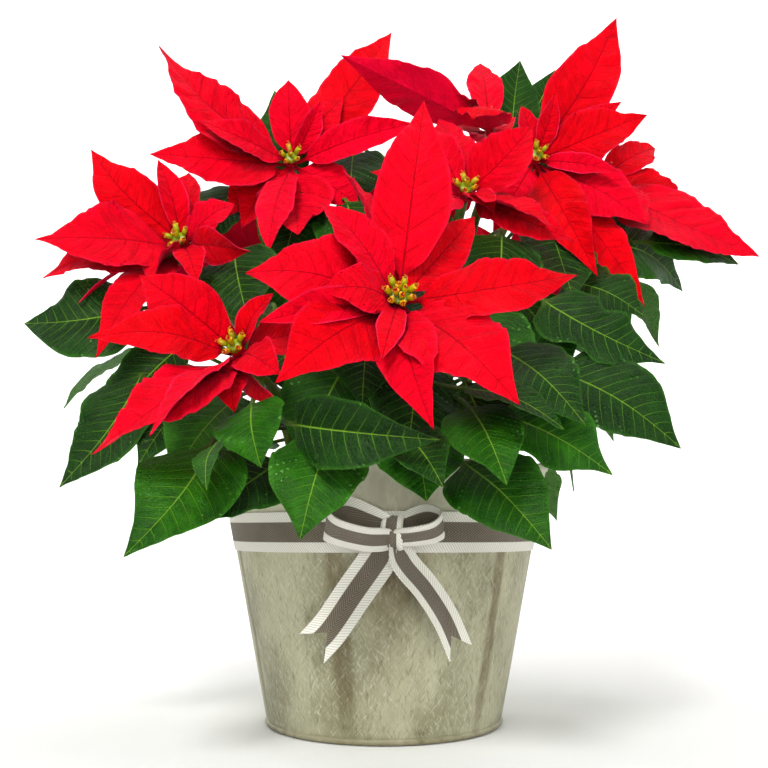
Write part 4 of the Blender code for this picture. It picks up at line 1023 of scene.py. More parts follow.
# %% [markdown]
# ## The ribbon
# The ribbon is woven cloth, 20 mm wide, grey-brown in the middle and cream along both edges. One length
# lies flat round the pot, and a bow of the same ribbon is tied over it: two loops, two tails cut in a
# notch, and a knot. A cloth simulation of so small a bow would not come out as the picture shows it, so
# each piece is a strip laid along a smooth path. Its points know how far along and across they are.

# %% Strips of ribbon
RIBBON_WIDTH = 20.0
RIBBON_HALF_SKIN = 0.32
BAND_BOTTOM = 92.5
BAND_GAP = 0.3
KNOT_CENTRE = Vector((4.0, -91.4, 102.5))
# A row of a loop is a point on its middle and the way across the ribbon there: the strand behind leans
# back at its top, and the one in front lies open to the sky.
LEFT_LOOP = (
    ((0, 1, 1), (0.35, 0, 0.94)), ((-12, 1.6, 5), (0.42, 0, 0.91)), ((-24, 0.4, 8.5), (0.42, -0.1, 0.90)),
    ((-31, -4, 5), (0.15, -0.5, 0.85)), ((-26, -8.5, 0.5), (0, -0.72, 0.69)),
    ((-12, -8, -3), (0, -0.72, 0.69)), ((0, -3, -3), (0, -0.5, 0.87)),
)
RIGHT_LOOP = (
    ((0, 1, 1), (-0.3, 0, 0.95)), ((9, 1.6, 4.5), (-0.35, 0, 0.94)), ((18, 0.4, 6.5), (-0.35, -0.1, 0.93)),
    ((23.5, -3.5, 4), (-0.1, -0.5, 0.86)), ((19, -7, 0), (0, -0.72, 0.69)),
    ((9, -6.8, -2), (0, -0.72, 0.69)), ((0, -3, -2.5), (0, -0.5, 0.87)),
)
LEFT_TAIL = ((-1, 1, -3), (-8, 0, -14), (-18, 2, -28), (-29, 5, -44), (-38, 7, -54))
RIGHT_TAIL = ((1, -1, -3), (6, -2, -14), (16, 1, -26), (25, 4, -40), (32, 6, -56))


def smooth_path(points, steps):
    """Points along one smooth curve through the given points."""
    points = [Vector(p) for p in points]
    padded = [2 * points[0] - points[1]] + points + [2 * points[-1] - points[-2]]
    path = []
    for k in range(len(points) - 1):
        before, start, end, after = padded[k : k + 4]
        for t in np.arange(steps) / steps:
            path.append(
                0.5 * (2 * start + (end - before) * t + (2 * before - 5 * start + 4 * end - after) * t**2
                       + (3 * start - before - 3 * end + after) * t**3)
            )
    return np.array(path + [points[-1]])


def strip_of(path, across, widths, bulge=0.0, notch=0.0, pleat=0.0, columns=12):
    """A closed thin strip: its points, its faces and how far along and across each point is."""
    path, across = np.array(path, float), np.array(across, float)
    widths = np.asarray(widths, float)[:, None]
    across /= np.linalg.norm(across, axis=1)[:, None]
    ahead = np.gradient(path, axis=0)
    ahead /= np.linalg.norm(ahead, axis=1)[:, None]
    up = np.cross(across, ahead)
    up /= np.linalg.norm(up, axis=1)[:, None]
    along = np.concatenate([[0], np.cumsum(np.linalg.norm(np.diff(path, axis=0), axis=1))])[:, None]
    v = np.linspace(-1, 1, columns + 1)[None, :]
    squeeze = 1 - np.clip(widths / RIBBON_WIDTH, 0, 1)
    lift = bulge * (1 - v * v) + pleat * squeeze * np.cos(v * 8.5)
    slide = -notch * (1 - np.abs(v)) * (np.arange(len(path))[:, None] / (len(path) - 1)) ** 3
    middle = path[:, None] + across[:, None] * (v * widths / 2)[..., None]
    middle = middle + ahead[:, None] * slide[..., None] + up[:, None] * lift[..., None]
    skin = up[:, None] * RIBBON_HALF_SKIN
    ring = np.concatenate([middle + skin, (middle - skin)[:, ::-1]], axis=1)
    wide = ring.shape[1]
    first = np.arange(len(path) - 1)[:, None] * wide + np.arange(wide)[None, :]
    after = first - np.arange(wide) + (np.arange(wide) + 1) % wide
    faces = np.stack([first, first + wide, after + wide, after], axis=-1).reshape(-1, 4).tolist()
    last = (len(path) - 1) * wide
    for k in range(columns):
        faces.append((k, k + 1, wide - 2 - k, wide - 1 - k))
        faces.append((last + k + 1, last + k, last + wide - 1 - k, last + wide - 2 - k))
    cloth_along = along + slide
    cloth_across = np.broadcast_to(v * RIBBON_WIDTH / 2, cloth_along.shape)
    cloth = np.stack([cloth_along, cloth_across, np.zeros(cloth_along.shape)], axis=-1)
    cloth = np.concatenate([cloth, cloth[:, ::-1]], axis=1).reshape(-1, 3)
    return ring.reshape(-1, 3), faces, {"cloth": cloth}


def length_of(path):
    return float(np.linalg.norm(np.diff(np.array(path), axis=0), axis=1).sum()) * MM


# %% [markdown]
# ## The bow's pieces
# Each piece of the bow is its own length of ribbon. A loop narrows and pleats where the knot grips it, a
# tail widens from the knot and ends in a cut notch, and the knot is a short turn of ribbon over both.

# %% The band, the loops, the tails and the knot
BAND_STEPS = 300
LOOP_WIDTHS = {"left": 19.0, "right": 15.0}
TAILS = {"left": (LEFT_TAIL, 19.0, 24), "right": (RIGHT_TAIL, 17.0, -42)}


def band_part():
    """The band goes once round the pot and leans back as the pot does. Its ends meet under the knot."""
    turn = np.linspace(-np.pi / 2, 1.5 * np.pi, BAND_STEPS + 1)
    middle = BAND_BOTTOM + RIBBON_WIDTH / 2
    radius = pot_radius(middle) + BAND_GAP + 0.35 + 0.12 * np.sin(turn * 9)
    path = np.stack([radius * np.cos(turn), radius * np.sin(turn), middle + 0.25 * np.sin(turn * 3)], axis=1)
    across = np.stack([POT_FLARE * np.cos(turn), POT_FLARE * np.sin(turn), np.ones_like(turn)], axis=1)
    return path, strip_of(path, across, np.full(len(path), RIBBON_WIDTH))


def loop_part(rows, width):
    path = smooth_path([KNOT_CENTRE + Vector(place) for place, _ in rows], 10)
    across = smooth_path([way for _, way in rows], 10)
    share = np.linspace(0, 1, len(path))
    widths = width * (0.45 + 0.55 * np.sin(np.pi * share) ** 0.5)
    return path, strip_of(path, across, widths, bulge=0.0, pleat=0.9)


def tail_part(points, width, lean):
    path = smooth_path([KNOT_CENTRE + Vector(point) for point in points], 14)
    ahead = np.gradient(path, axis=0)
    share = np.linspace(0, 1, len(path))
    widths = width * np.minimum(1.0, 0.42 + 3.0 * share)
    flat = []
    for way in map(Vector, ahead):
        flat.append(Matrix.Rotation(math.radians(lean), 3, way) @ way.cross(Vector((0, 1, 0))))
    return path, strip_of(path, flat, widths, bulge=1.2, notch=width * 0.55, pleat=0.7)


def knot_part():
    """A short length of the same ribbon wrapped once over the middle of the bow, from top to bottom."""
    turn = np.linspace(0, 2 * np.pi, 61)
    path = []
    for a in turn:
        place = Vector((0.8 * math.sin(a), 4.3 * math.sin(a - 0.4), 6.6 * math.cos(a - 0.4)))
        path.append(KNOT_CENTRE + place)
    across = [Vector((1, 0.25 * math.sin(a), 0.25 * math.cos(a))) for a in turn]
    return path, strip_of(path, across, np.full(len(path), 11.0), bulge=0.9, pleat=0.8)


print("the band is", round(length_of(band_part()[0]), 3), "m long")

# %% [markdown]
# # Finishes
# Each finish is built from nodes. An effect that several finishes share, such as veins or mottling, is a
# group of its own, built once and placed in each material with its own numbers. The groups only put out
# masks and heights. The shader stays in the material.

# %% Helpers for nodes
def feed(tree, value, socket):
    """A wire from another node, or else a plain number or colour."""
    if isinstance(value, bpy.types.NodeSocket):
        tree.links.new(value, socket)
    else:
        socket.default_value = value


def maths(tree, operation, *values):
    step = tree.nodes.new("ShaderNodeMath")
    step.operation = operation
    for value, socket in zip(values, step.inputs):
        feed(tree, value, socket)
    return step.outputs[0]


def fade(tree, value, low, high, start=0.0, end=1.0):
    """A soft step: start below low, end above high."""
    step = tree.nodes.new("ShaderNodeMapRange")
    step.interpolation_type = "SMOOTHSTEP"
    for number, socket in zip((value, low, high, start, end), step.inputs):
        feed(tree, number, socket)
    return step.outputs[0]


def blend(tree, share, first, second, way="MIX"):
    """Two colours mixed by a share."""
    step = tree.nodes.new("ShaderNodeMix")
    step.data_type = "RGBA"
    step.blend_type = way
    step.clamp_factor = True
    for value, socket in ((share, step.inputs[0]), (first, step.inputs[6]), (second, step.inputs[7])):
        feed(tree, value, socket)
    return step.outputs[2]


def noise(tree, place, scale, detail=3.0, rough=0.55, stretch=None):
    if stretch:
        place = stretched(tree, place, stretch)
    step = tree.nodes.new("ShaderNodeTexNoise")
    feed(tree, place, step.inputs["Vector"])
    step.inputs["Scale"].default_value = scale
    step.inputs["Detail"].default_value = detail
    step.inputs["Roughness"].default_value = rough
    return step.outputs["Fac"]


def stretched(tree, place, by):
    step = tree.nodes.new("ShaderNodeVectorMath")
    step.operation = "MULTIPLY"
    feed(tree, place, step.inputs[0])
    feed(tree, by, step.inputs[1])
    return step.outputs[0]


def known(tree, name, output="Vector"):
    """What the piece's points know under this name."""
    step = tree.nodes.new("ShaderNodeAttribute")
    step.attribute_name = name
    return step.outputs[output]


def parts_of(tree, vector):
    step = tree.nodes.new("ShaderNodeSeparateXYZ")
    feed(tree, vector, step.inputs[0])
    return step.outputs


def new_group(name, inputs, outputs):
    """An empty shader group with named sockets, and its two ends."""
    group = bpy.data.node_groups.new(name, "ShaderNodeTree")
    for label, kind, value in inputs:
        socket = group.interface.new_socket(label, in_out="INPUT", socket_type=f"NodeSocket{kind}")
        if value is not None:
            socket.default_value = value
    for label, kind in outputs:
        group.interface.new_socket(label, in_out="OUTPUT", socket_type=f"NodeSocket{kind}")
    start = group.nodes.new("NodeGroupInput").outputs
    end = group.nodes.new("NodeGroupOutput").inputs
    return group, start, end


def placed(tree, group, **values):
    step = tree.nodes.new("ShaderNodeGroup")
    step.node_tree = group
    for label, value in values.items():
        feed(tree, value, step.inputs[label.replace("_", " ")])
    return step.outputs


def new_finish(name):
    material = bpy.data.materials.new(name)
    material.use_nodes = True
    tree = material.node_tree
    return material, tree, tree.nodes["Principled BSDF"]


def bumped(tree, shader, height, strength, distance):
    bump = tree.nodes.new("ShaderNodeBump")
    bump.inputs["Strength"].default_value = strength
    bump.inputs["Distance"].default_value = distance
    feed(tree, height, bump.inputs["Height"])
    tree.links.new(bump.outputs["Normal"], shader.inputs["Normal"])


def red_green_blue(red, green, blue):
    """A colour as a screen shows it, 0 to 255, turned into the even scale that the shader works in."""
    return (*((value / 255) ** 2.2 for value in (red, green, blue)), 1.0)


print("pure bract red:", [round(value, 3) for value in red_green_blue(225, 5, 25)])

# %% [markdown]
# ## Veins
# A vein is a thin line where the skin dips. The phase that each point knows is a whole number on a vein,
# so the distance to the nearest whole number, times the spacing, is the distance to the nearest vein. The
# rib is where the distance across is near nought, and it thins towards the tip. Between the veins runs a
# fine net, which a Voronoi texture's cell edges imitate well. The crinkle is noise drawn out from the rib
# along the veins, so its ripples run the way that creases do on a real blade.

# %% The veins' group
veins_group, start, end = new_group(
    "Blade veins",
    (("Place", "Vector", None), ("Count", "Vector", None), ("Spacing", "Float", 8.0),
     ("Vein width", "Float", 0.5), ("Rib width", "Float", 1.2), ("Net size", "Float", 1.6)),
    (("Veins", "Float"), ("Rib", "Float"), ("Net", "Float"), ("Margin", "Float"), ("Crinkle", "Float"),
     ("Height", "Float")),
)
tree = veins_group
along, aside, seed = parts_of(tree, start["Place"])
phase, share, out = parts_of(tree, start["Count"])
nearest = maths(tree, "ABSOLUTE", maths(tree, "SUBTRACT", phase, maths(tree, "ROUND", phase)))
distance = maths(tree, "MULTIPLY", nearest, start["Spacing"])
wide = maths(tree, "MULTIPLY", start["Vein width"], fade(tree, out, 0.0, 1.0, 1.15, 0.35))
veins = maths(tree, "SUBTRACT", 1.0, fade(tree, distance, maths(tree, "MULTIPLY", wide, 0.25), wide))
veins = maths(tree, "MULTIPLY", veins, fade(tree, out, 0.80, 0.97, 1.0, 0.0))
rib_wide = maths(tree, "MULTIPLY", start["Rib width"], fade(tree, share, 0.0, 1.0, 1.0, 0.3))
distance = maths(tree, "ABSOLUTE", aside)
rib = maths(tree, "SUBTRACT", 1.0, fade(tree, distance, maths(tree, "MULTIPLY", rib_wide, 0.3), rib_wide))
cells = tree.nodes.new("ShaderNodeTexVoronoi")
cells.feature = "DISTANCE_TO_EDGE"
feed(tree, start["Place"], cells.inputs["Vector"])
feed(tree, maths(tree, "DIVIDE", 1.0, start["Net size"]), cells.inputs["Scale"])
net = fade(tree, cells.outputs["Distance"], 0.02, 0.16, 1.0, 0.0)
margin = fade(tree, out, 0.86, 1.0)
ripple = tree.nodes.new("ShaderNodeCombineXYZ")
feed(tree, phase, ripple.inputs[0])
feed(tree, maths(tree, "MULTIPLY", maths(tree, "ABSOLUTE", aside), 0.075), ripple.inputs[1])
half_seed = maths(tree, "MULTIPLY", maths(tree, "SIGN", aside), 7.0)
feed(tree, maths(tree, "ADD", seed, half_seed), ripple.inputs[2])
crinkle = fade(tree, noise(tree, ripple.outputs[0], 1.9, 3.0, 0.6), 0.33, 0.67)
deep = maths(tree, "MAXIMUM", maths(tree, "MULTIPLY", veins, 0.8), rib)
height = maths(tree, "SUBTRACT", maths(tree, "MULTIPLY", deep, -1.0), maths(tree, "MULTIPLY", net, 0.25))
for label, value in (("Veins", veins), ("Rib", rib), ("Net", net), ("Margin", margin), ("Crinkle", crinkle),
                     ("Height", height)):
    feed(tree, value, end[label])
print("Blade veins has", len(tree.nodes), "nodes")

# %% [markdown]
# ## Mottling
# No skin, cloth or paint is one colour. Broad soft patches and a fine grain, both from noise, are mixed
# into nearly every finish here, each time at the scale of that thing.

# %% The mottling group
mottling_group, start, end = new_group(
    "Mottling",
    (("Place", "Vector", None), ("Patch scale", "Float", 1.0), ("Grain scale", "Float", 8.0)),
    (("Patches", "Float"), ("Grain", "Float")),
)
tree = mottling_group
for label, scale, detail in (("Patches", "Patch scale", 2.0), ("Grain", "Grain scale", 3.0)):
    step = tree.nodes.new("ShaderNodeTexNoise")
    feed(tree, start["Place"], step.inputs["Vector"])
    feed(tree, start[scale], step.inputs["Scale"])
    step.inputs["Detail"].default_value = detail
    feed(tree, fade(tree, step.outputs["Fac"], 0.3, 0.7), end[label])
print("Mottling has", len(tree.nodes), "nodes")

# %% [markdown]
# ## Painted shade in closed places
# Both blade finishes are painted darker where a point is little open: painted shade for places that little
# light reaches. The step is soft and never reaches black, so a bract in the shade of another is painted
# deep crimson and only the foot of a bloom is painted nearly black.

# %% How much painted shade a point gets
def painted_shade_where_closed(tree, low, high):
    return maths(tree, "SUBTRACT", 1.0, fade(tree, known(tree, "open", "Fac"), low, high))


# %% [markdown]
# ## Red bracts
# A bract is a saturated crimson with a velvety skin that hardly mirrors anything. It is darker along the
# rib and paler underneath. Its creases are painted darker, as painted shade, and its margin is painted
# pinker, as a painted sheen that is strongest on the small ones. Some bracts of a bloom are pinker than
# others.

# %% The bracts' finish
def make_bract_finish():
    material, tree, shader = new_finish("red_bracts_finish")
    place, count, side = known(tree, "on_blade"), known(tree, "veins"), known(tree, "side")
    kind = known(tree, "kind", "Fac")
    under, tint, stalk = parts_of(tree, side)
    veins = placed(tree, veins_group, Place=place, Count=count, Spacing=7.5, Vein_width=0.38, Rib_width=0.62,
                   Net_size=1.2)
    mottle = placed(tree, mottling_group, Place=place, Patch_scale=0.06, Grain_scale=1.4)
    colour = blend(tree, mottle["Patches"], red_green_blue(206, 0, 8), red_green_blue(236, 0, 20))
    colour = blend(tree, maths(tree, "MULTIPLY", tint, 0.7), colour, red_green_blue(250, 4, 50))
    # Painted shade: the valleys between the crinkle's ripples are painted a deeper red.
    painted_crease_shade = maths(tree, "SUBTRACT", 1.0, veins["Crinkle"])
    colour = blend(tree, maths(tree, "MULTIPLY", painted_crease_shade, 0.42), colour, red_green_blue(158, 0, 2))
    colour = blend(tree, maths(tree, "MULTIPLY", mottle["Grain"], 0.10), colour, red_green_blue(180, 0, 10))
    colour = blend(tree, maths(tree, "MULTIPLY", veins["Veins"], 0.22), colour, red_green_blue(140, 0, 6))
    colour = blend(tree, maths(tree, "MULTIPLY", veins["Net"], 0.07), colour, red_green_blue(150, 0, 12))
    colour = blend(tree, maths(tree, "MULTIPLY", veins["Rib"], 0.5), colour, red_green_blue(110, 0, 8))
    # Painted sheen: the margin is painted pinker, more on the small bracts, to stand for the velvet's sheen
    # at the edge.
    painted_sheen_share = maths(tree, "ADD", 0.12, maths(tree, "MULTIPLY", kind, 0.6))
    edge = maths(tree, "MULTIPLY", veins["Margin"], painted_sheen_share)
    colour = blend(tree, edge, colour, red_green_blue(245, 50, 100))
    colour = blend(tree, maths(tree, "MULTIPLY", under, 0.5), colour, red_green_blue(226, 14, 62))
    colour = blend(tree, maths(tree, "MULTIPLY", stalk, 0.7), colour, red_green_blue(140, 4, 18))
    # Painted shade: the bract is painted deep crimson, down to nearly black, where it lies little open.
    colour = blend(tree, maths(tree, "MULTIPLY", painted_shade_where_closed(tree, 0.08, 0.58), 0.85), colour,
                   red_green_blue(66, 0, 6))
    feed(tree, colour, shader.inputs["Base Color"])
    rough = fade(tree, mottle["Grain"], 0.0, 1.0, 0.48, 0.62)
    feed(tree, rough, shader.inputs["Roughness"])
    shader.inputs["Specular IOR Level"].default_value = 0.08
    shader.inputs["Specular Tint"].default_value = (1.0, 0.25, 0.45, 1.0)
    shader.inputs["Sheen Weight"].default_value = 0.12
    shader.inputs["Sheen Tint"].default_value = (1.0, 0.05, 0.22, 1.0)
    shader.inputs["Subsurface Weight"].default_value = 0.08
    shader.inputs["Subsurface Radius"].default_value = (1.0, 0.03, 0.03)
    shader.inputs["Subsurface Scale"].default_value = 0.0015
    relief = maths(tree, "ADD", veins["Height"], maths(tree, "MULTIPLY", veins["Crinkle"], 1.3))
    relief = maths(tree, "ADD", relief, maths(tree, "MULTIPLY", mottle["Grain"], 0.12))
    bumped(tree, shader, relief, 0.75, 0.0006)
    return material


bract_finish = make_bract_finish()
print(bract_finish.name, "has", len(bract_finish.node_tree.nodes), "nodes")

# %% [markdown]
# ## Green leaves
# The leaves go from a dark blue-green to a fresh yellow-green with age. The veins and the rib are pale
# lines, the underside is greyer and matt, and the upper side has a satin gloss.

# %% The leaves' finish
def make_leaf_finish():
    material, tree, shader = new_finish("green_leaves_finish")
    place, count, side = known(tree, "on_blade"), known(tree, "veins"), known(tree, "side")
    under, tint, stalk = parts_of(tree, side)
    veins = placed(tree, veins_group, Place=place, Count=count, Spacing=6.5, Vein_width=0.40, Rib_width=0.75,
                   Net_size=1.7)
    mottle = placed(tree, mottling_group, Place=place, Patch_scale=0.07, Grain_scale=1.2)
    dark = blend(tree, mottle["Patches"], red_green_blue(5, 32, 14), red_green_blue(14, 52, 8))
    fresh = blend(tree, mottle["Patches"], red_green_blue(22, 78, 2), red_green_blue(46, 112, 4))
    colour = blend(tree, fade(tree, tint, 0.30, 1.0), dark, fresh)
    # Painted shade: the valleys between the crinkle's ripples are painted a darker green.
    painted_crease_shade = maths(tree, "SUBTRACT", 1.0, veins["Crinkle"])
    colour = blend(tree, maths(tree, "MULTIPLY", painted_crease_shade, 0.40), colour, red_green_blue(6, 34, 6))
    colour = blend(tree, maths(tree, "MULTIPLY", mottle["Grain"], 0.2), colour, red_green_blue(12, 48, 8))
    colour = blend(tree, maths(tree, "MULTIPLY", veins["Net"], 0.12), colour, red_green_blue(60, 120, 24))
    colour = blend(tree, maths(tree, "MULTIPLY", veins["Veins"], 0.62), colour, red_green_blue(92, 146, 36))
    colour = blend(tree, maths(tree, "MULTIPLY", veins["Rib"], 0.8), colour, red_green_blue(124, 170, 52))
    colour = blend(tree, maths(tree, "MULTIPLY", veins["Margin"], 0.25), colour, red_green_blue(66, 132, 24))
    pale = blend(tree, veins["Net"], red_green_blue(74, 124, 58), red_green_blue(106, 152, 82))
    colour = blend(tree, maths(tree, "MULTIPLY", under, 0.8), colour, pale)
    bark = blend(tree, mottle["Patches"], red_green_blue(48, 88, 24), red_green_blue(92, 110, 44))
    colour = blend(tree, stalk, colour, bark)
    # Painted shade: the leaf is painted nearly black where it lies little open.
    colour = blend(tree, maths(tree, "MULTIPLY", painted_shade_where_closed(tree, 0.12, 0.66), 0.9), colour,
                   red_green_blue(5, 14, 6))
    feed(tree, colour, shader.inputs["Base Color"])
    rough = fade(tree, mottle["Grain"], 0.0, 1.0, 0.36, 0.50)
    rough = maths(tree, "ADD", rough, maths(tree, "MULTIPLY", under, 0.2))
    feed(tree, rough, shader.inputs["Roughness"])
    shader.inputs["Specular IOR Level"].default_value = 0.22
    shader.inputs["Specular Tint"].default_value = (0.8, 1.0, 0.6, 1.0)
    shader.inputs["Subsurface Weight"].default_value = 0.05
    shader.inputs["Subsurface Radius"].default_value = (0.3, 1.0, 0.1)
    shader.inputs["Subsurface Scale"].default_value = 0.002
    relief = maths(tree, "ADD", veins["Height"], maths(tree, "MULTIPLY", veins["Crinkle"], 0.8))
    bumped(tree, shader, relief, 0.8, 0.0007)
    return material


leaf_finish = make_leaf_finish()
print(leaf_finish.name, "has", len(leaf_finish.node_tree.nodes), "nodes")

# %% [markdown]
# ## Cups
# The points of a cup know how yellow and how red they are, so the finish only has to mix three colours
# and add a little grain. The lips are wet with nectar, so the finish is glossy.

# %% The cups' finish
def make_cup_finish():
    material, tree, shader = new_finish("yellow_cups_finish")
    yellow, red, seed = parts_of(tree, known(tree, "cup"))
    place = tree.nodes.new("ShaderNodeTexCoord").outputs["Object"]
    mottle = placed(tree, mottling_group, Place=place, Patch_scale=400.0, Grain_scale=2500.0)
    green = blend(tree, mottle["Patches"], red_green_blue(70, 118, 10), red_green_blue(118, 158, 14))
    ripe = blend(tree, seed, red_green_blue(206, 206, 10), red_green_blue(240, 170, 10))
    colour = blend(tree, yellow, green, ripe)
    colour = blend(tree, red, colour, red_green_blue(190, 8, 16))
    colour = blend(tree, maths(tree, "MULTIPLY", mottle["Grain"], 0.15), colour, red_green_blue(90, 60, 8))
    feed(tree, colour, shader.inputs["Base Color"])
    feed(tree, fade(tree, mottle["Grain"], 0.0, 1.0, 0.22, 0.42), shader.inputs["Roughness"])
    shader.inputs["Coat Weight"].default_value = 0.15
    bumped(tree, shader, mottle["Grain"], 0.15, 0.0002)
    return material


cup_finish = make_cup_finish()
print(cup_finish.name, "has", len(cup_finish.node_tree.nodes), "nodes")

# %% [markdown]
# ## The weathered pot
# The pot is sheet metal printed or painted to look like old boards: grey-beige with a green cast, full of
# fine crossed scratches, with brown streaks that run down it. Above the ribbon it is painted paler, a painted
# light against the shadow that the leaves throw there. Noise that is stretched along a slanting line on a
# cylinder makes scratches with no seam: the place is turned about the pot's axis by an angle that grows
# with height, so straight-up noise comes out slanted.

# %% The pot's finish
STREAKS = ((-69.0, 3.0, 0.0, 0.55), (-17.0, 6.0, 0.0, 0.5), (5.0, 15.0, 0.055, 0.75), (47.0, 4.0, 0.0, 0.55),
           (96.0, 7.0, 0.0, 0.5), (133.0, 4.0, 0.0, 0.45), (178.0, 13.0, 0.03, 0.6), (-127.0, 6.0, 0.0, 0.5))


def slanted(tree, place, slope):
    """The place turned about Z by an angle that grows with its height."""
    turn = tree.nodes.new("ShaderNodeVectorRotate")
    turn.rotation_type = "Z_AXIS"
    feed(tree, place, turn.inputs["Vector"])
    feed(tree, maths(tree, "MULTIPLY", parts_of(tree, place)[2], slope), turn.inputs["Angle"])
    return turn.outputs[0]


def make_pot_finish():
    material, tree, shader = new_finish("weathered_pot_finish")
    place = tree.nodes.new("ShaderNodeTexCoord").outputs["Object"]
    x, y, z = parts_of(tree, place)
    patches = noise(tree, place, 28, 4.0, 0.6, (1, 1, 0.45))
    share = fade(tree, patches, 0.35, 0.65)
    colour = blend(tree, share, red_green_blue(132, 130, 100), red_green_blue(176, 174, 144))
    scratches = 0.0
    for slope, thin in ((7.0, 0.055), (-7.0, 0.055), (0.0, 0.035), (13.0, 0.09), (-13.0, 0.09)):
        line = noise(tree, slanted(tree, place, slope), 900, 3.0, 0.6, (1, 1, thin))
        scratches = maths(tree, "ADD", scratches, fade(tree, line, 0.56, 0.72))
    dents = 0.0
    for slope, thin in ((6.0, 0.06), (-6.0, 0.06), (0.0, 0.04)):
        line = noise(tree, slanted(tree, place, slope), 700, 3.0, 0.6, (1, 1, thin))
        dents = maths(tree, "ADD", dents, fade(tree, line, 0.56, 0.74))
    colour = blend(tree, maths(tree, "MULTIPLY", scratches, 0.40), colour, red_green_blue(206, 204, 184))
    colour = blend(tree, maths(tree, "MULTIPLY", dents, 0.45), colour, red_green_blue(88, 84, 52))
    compass = maths(tree, "ARCTAN2", x, maths(tree, "MULTIPLY", y, -1.0))
    wander = noise(tree, place, 30, 3.0, 0.6, (1, 1, 0.5))
    crumbs = noise(tree, place, 260, 4.0, 0.7, (1, 1, 0.35))
    brown = 0.0
    for middle, width, bottom, strength in STREAKS:
        off = maths(tree, "SUBTRACT", compass, math.radians(middle))
        aside = maths(tree, "MULTIPLY_ADD", wander, 0.12, -0.06)
        off = maths(tree, "ABSOLUTE", maths(tree, "ADD", off, aside))
        mask = fade(tree, off, math.radians(width * 0.35), math.radians(width), 1.0, 0.0)
        mask = maths(tree, "MULTIPLY", mask, fade(tree, z, bottom - 0.004, bottom + 0.03, 0.15, strength))
        brown = maths(tree, "MAXIMUM", brown, mask)
    brown = maths(tree, "MULTIPLY", brown, fade(tree, crumbs, 0.25, 0.6, 0.45, 1.25))
    colour = blend(tree, brown, colour, red_green_blue(88, 70, 32))
    # Painted light: the pot is painted paler above the ribbon, up to the rim, against the shadow that the
    # leaves throw there.
    top = fade(tree, z, 0.108, 0.116)
    colour = blend(tree, maths(tree, "MULTIPLY", top, 0.55), colour, red_green_blue(204, 202, 180))
    bead = maths(tree, "MAXIMUM", fade(tree, z, 0.001, 0.0045, 1.0, 0.0), fade(tree, z, 0.1345, 0.1365))
    colour = blend(tree, maths(tree, "MULTIPLY", bead, 0.5), colour, red_green_blue(112, 102, 74))
    feed(tree, colour, shader.inputs["Base Color"])
    rough = maths(tree, "MULTIPLY_ADD", fade(tree, patches, 0.3, 0.7), 0.18, 0.48)
    feed(tree, rough, shader.inputs["Roughness"])
    shader.inputs["Metallic"].default_value = 0.1
    raised = maths(tree, "MULTIPLY", scratches, 0.4)
    height = maths(tree, "SUBTRACT", raised, maths(tree, "MULTIPLY", dents, 0.5))
    bumped(tree, shader, height, 0.25, 0.0004)
    return material


pot_finish = make_pot_finish()
print(pot_finish.name, "has", len(pot_finish.node_tree.nodes), "nodes")

# %% [markdown]
# ## Soil
# Damp soil is nearly black, with brown crumbs and a few white grains of the mineral that keeps it loose.

# %% The soil's finish
def make_soil_finish():
    material, tree, shader = new_finish("dark_soil_finish")
    place = tree.nodes.new("ShaderNodeTexCoord").outputs["Object"]
    mottle = placed(tree, mottling_group, Place=place, Patch_scale=90.0, Grain_scale=700.0)
    colour = blend(tree, mottle["Patches"], red_green_blue(34, 22, 14), red_green_blue(66, 46, 30))
    colour = blend(tree, mottle["Grain"], colour, red_green_blue(22, 15, 10))
    grains = tree.nodes.new("ShaderNodeTexVoronoi")
    feed(tree, place, grains.inputs["Vector"])
    grains.inputs["Scale"].default_value = 180.0
    pale = maths(tree, "MULTIPLY", fade(tree, grains.outputs["Distance"], 0.1, 0.2, 1.0, 0.0),
                 fade(tree, parts_of(tree, grains.outputs["Color"])[0], 0.86, 0.9))
    colour = blend(tree, pale, colour, red_green_blue(214, 208, 196))
    feed(tree, colour, shader.inputs["Base Color"])
    feed(tree, fade(tree, mottle["Grain"], 0.0, 1.0, 0.75, 0.98), shader.inputs["Roughness"])
    bumped(tree, shader, mottle["Grain"], 0.9, 0.0015)
    return material


soil_finish = make_soil_finish()
print(soil_finish.name, "has", len(soil_finish.node_tree.nodes), "nodes")

# %% [markdown]
# ## Woven ribbon
# The middle of the ribbon is woven in herringbone: slanting threads that lean one way in one half and the
# other way in the other half, so they meet in arrowheads. Both edges are plain cream with threads that
# slant one way. As every point knows how far along and across it is, one finish serves the band and bow.

# %% The ribbon's finish
THREAD = 1.15  # millimetres from one slanting thread to the next
EDGE_STRIPE = 5.0


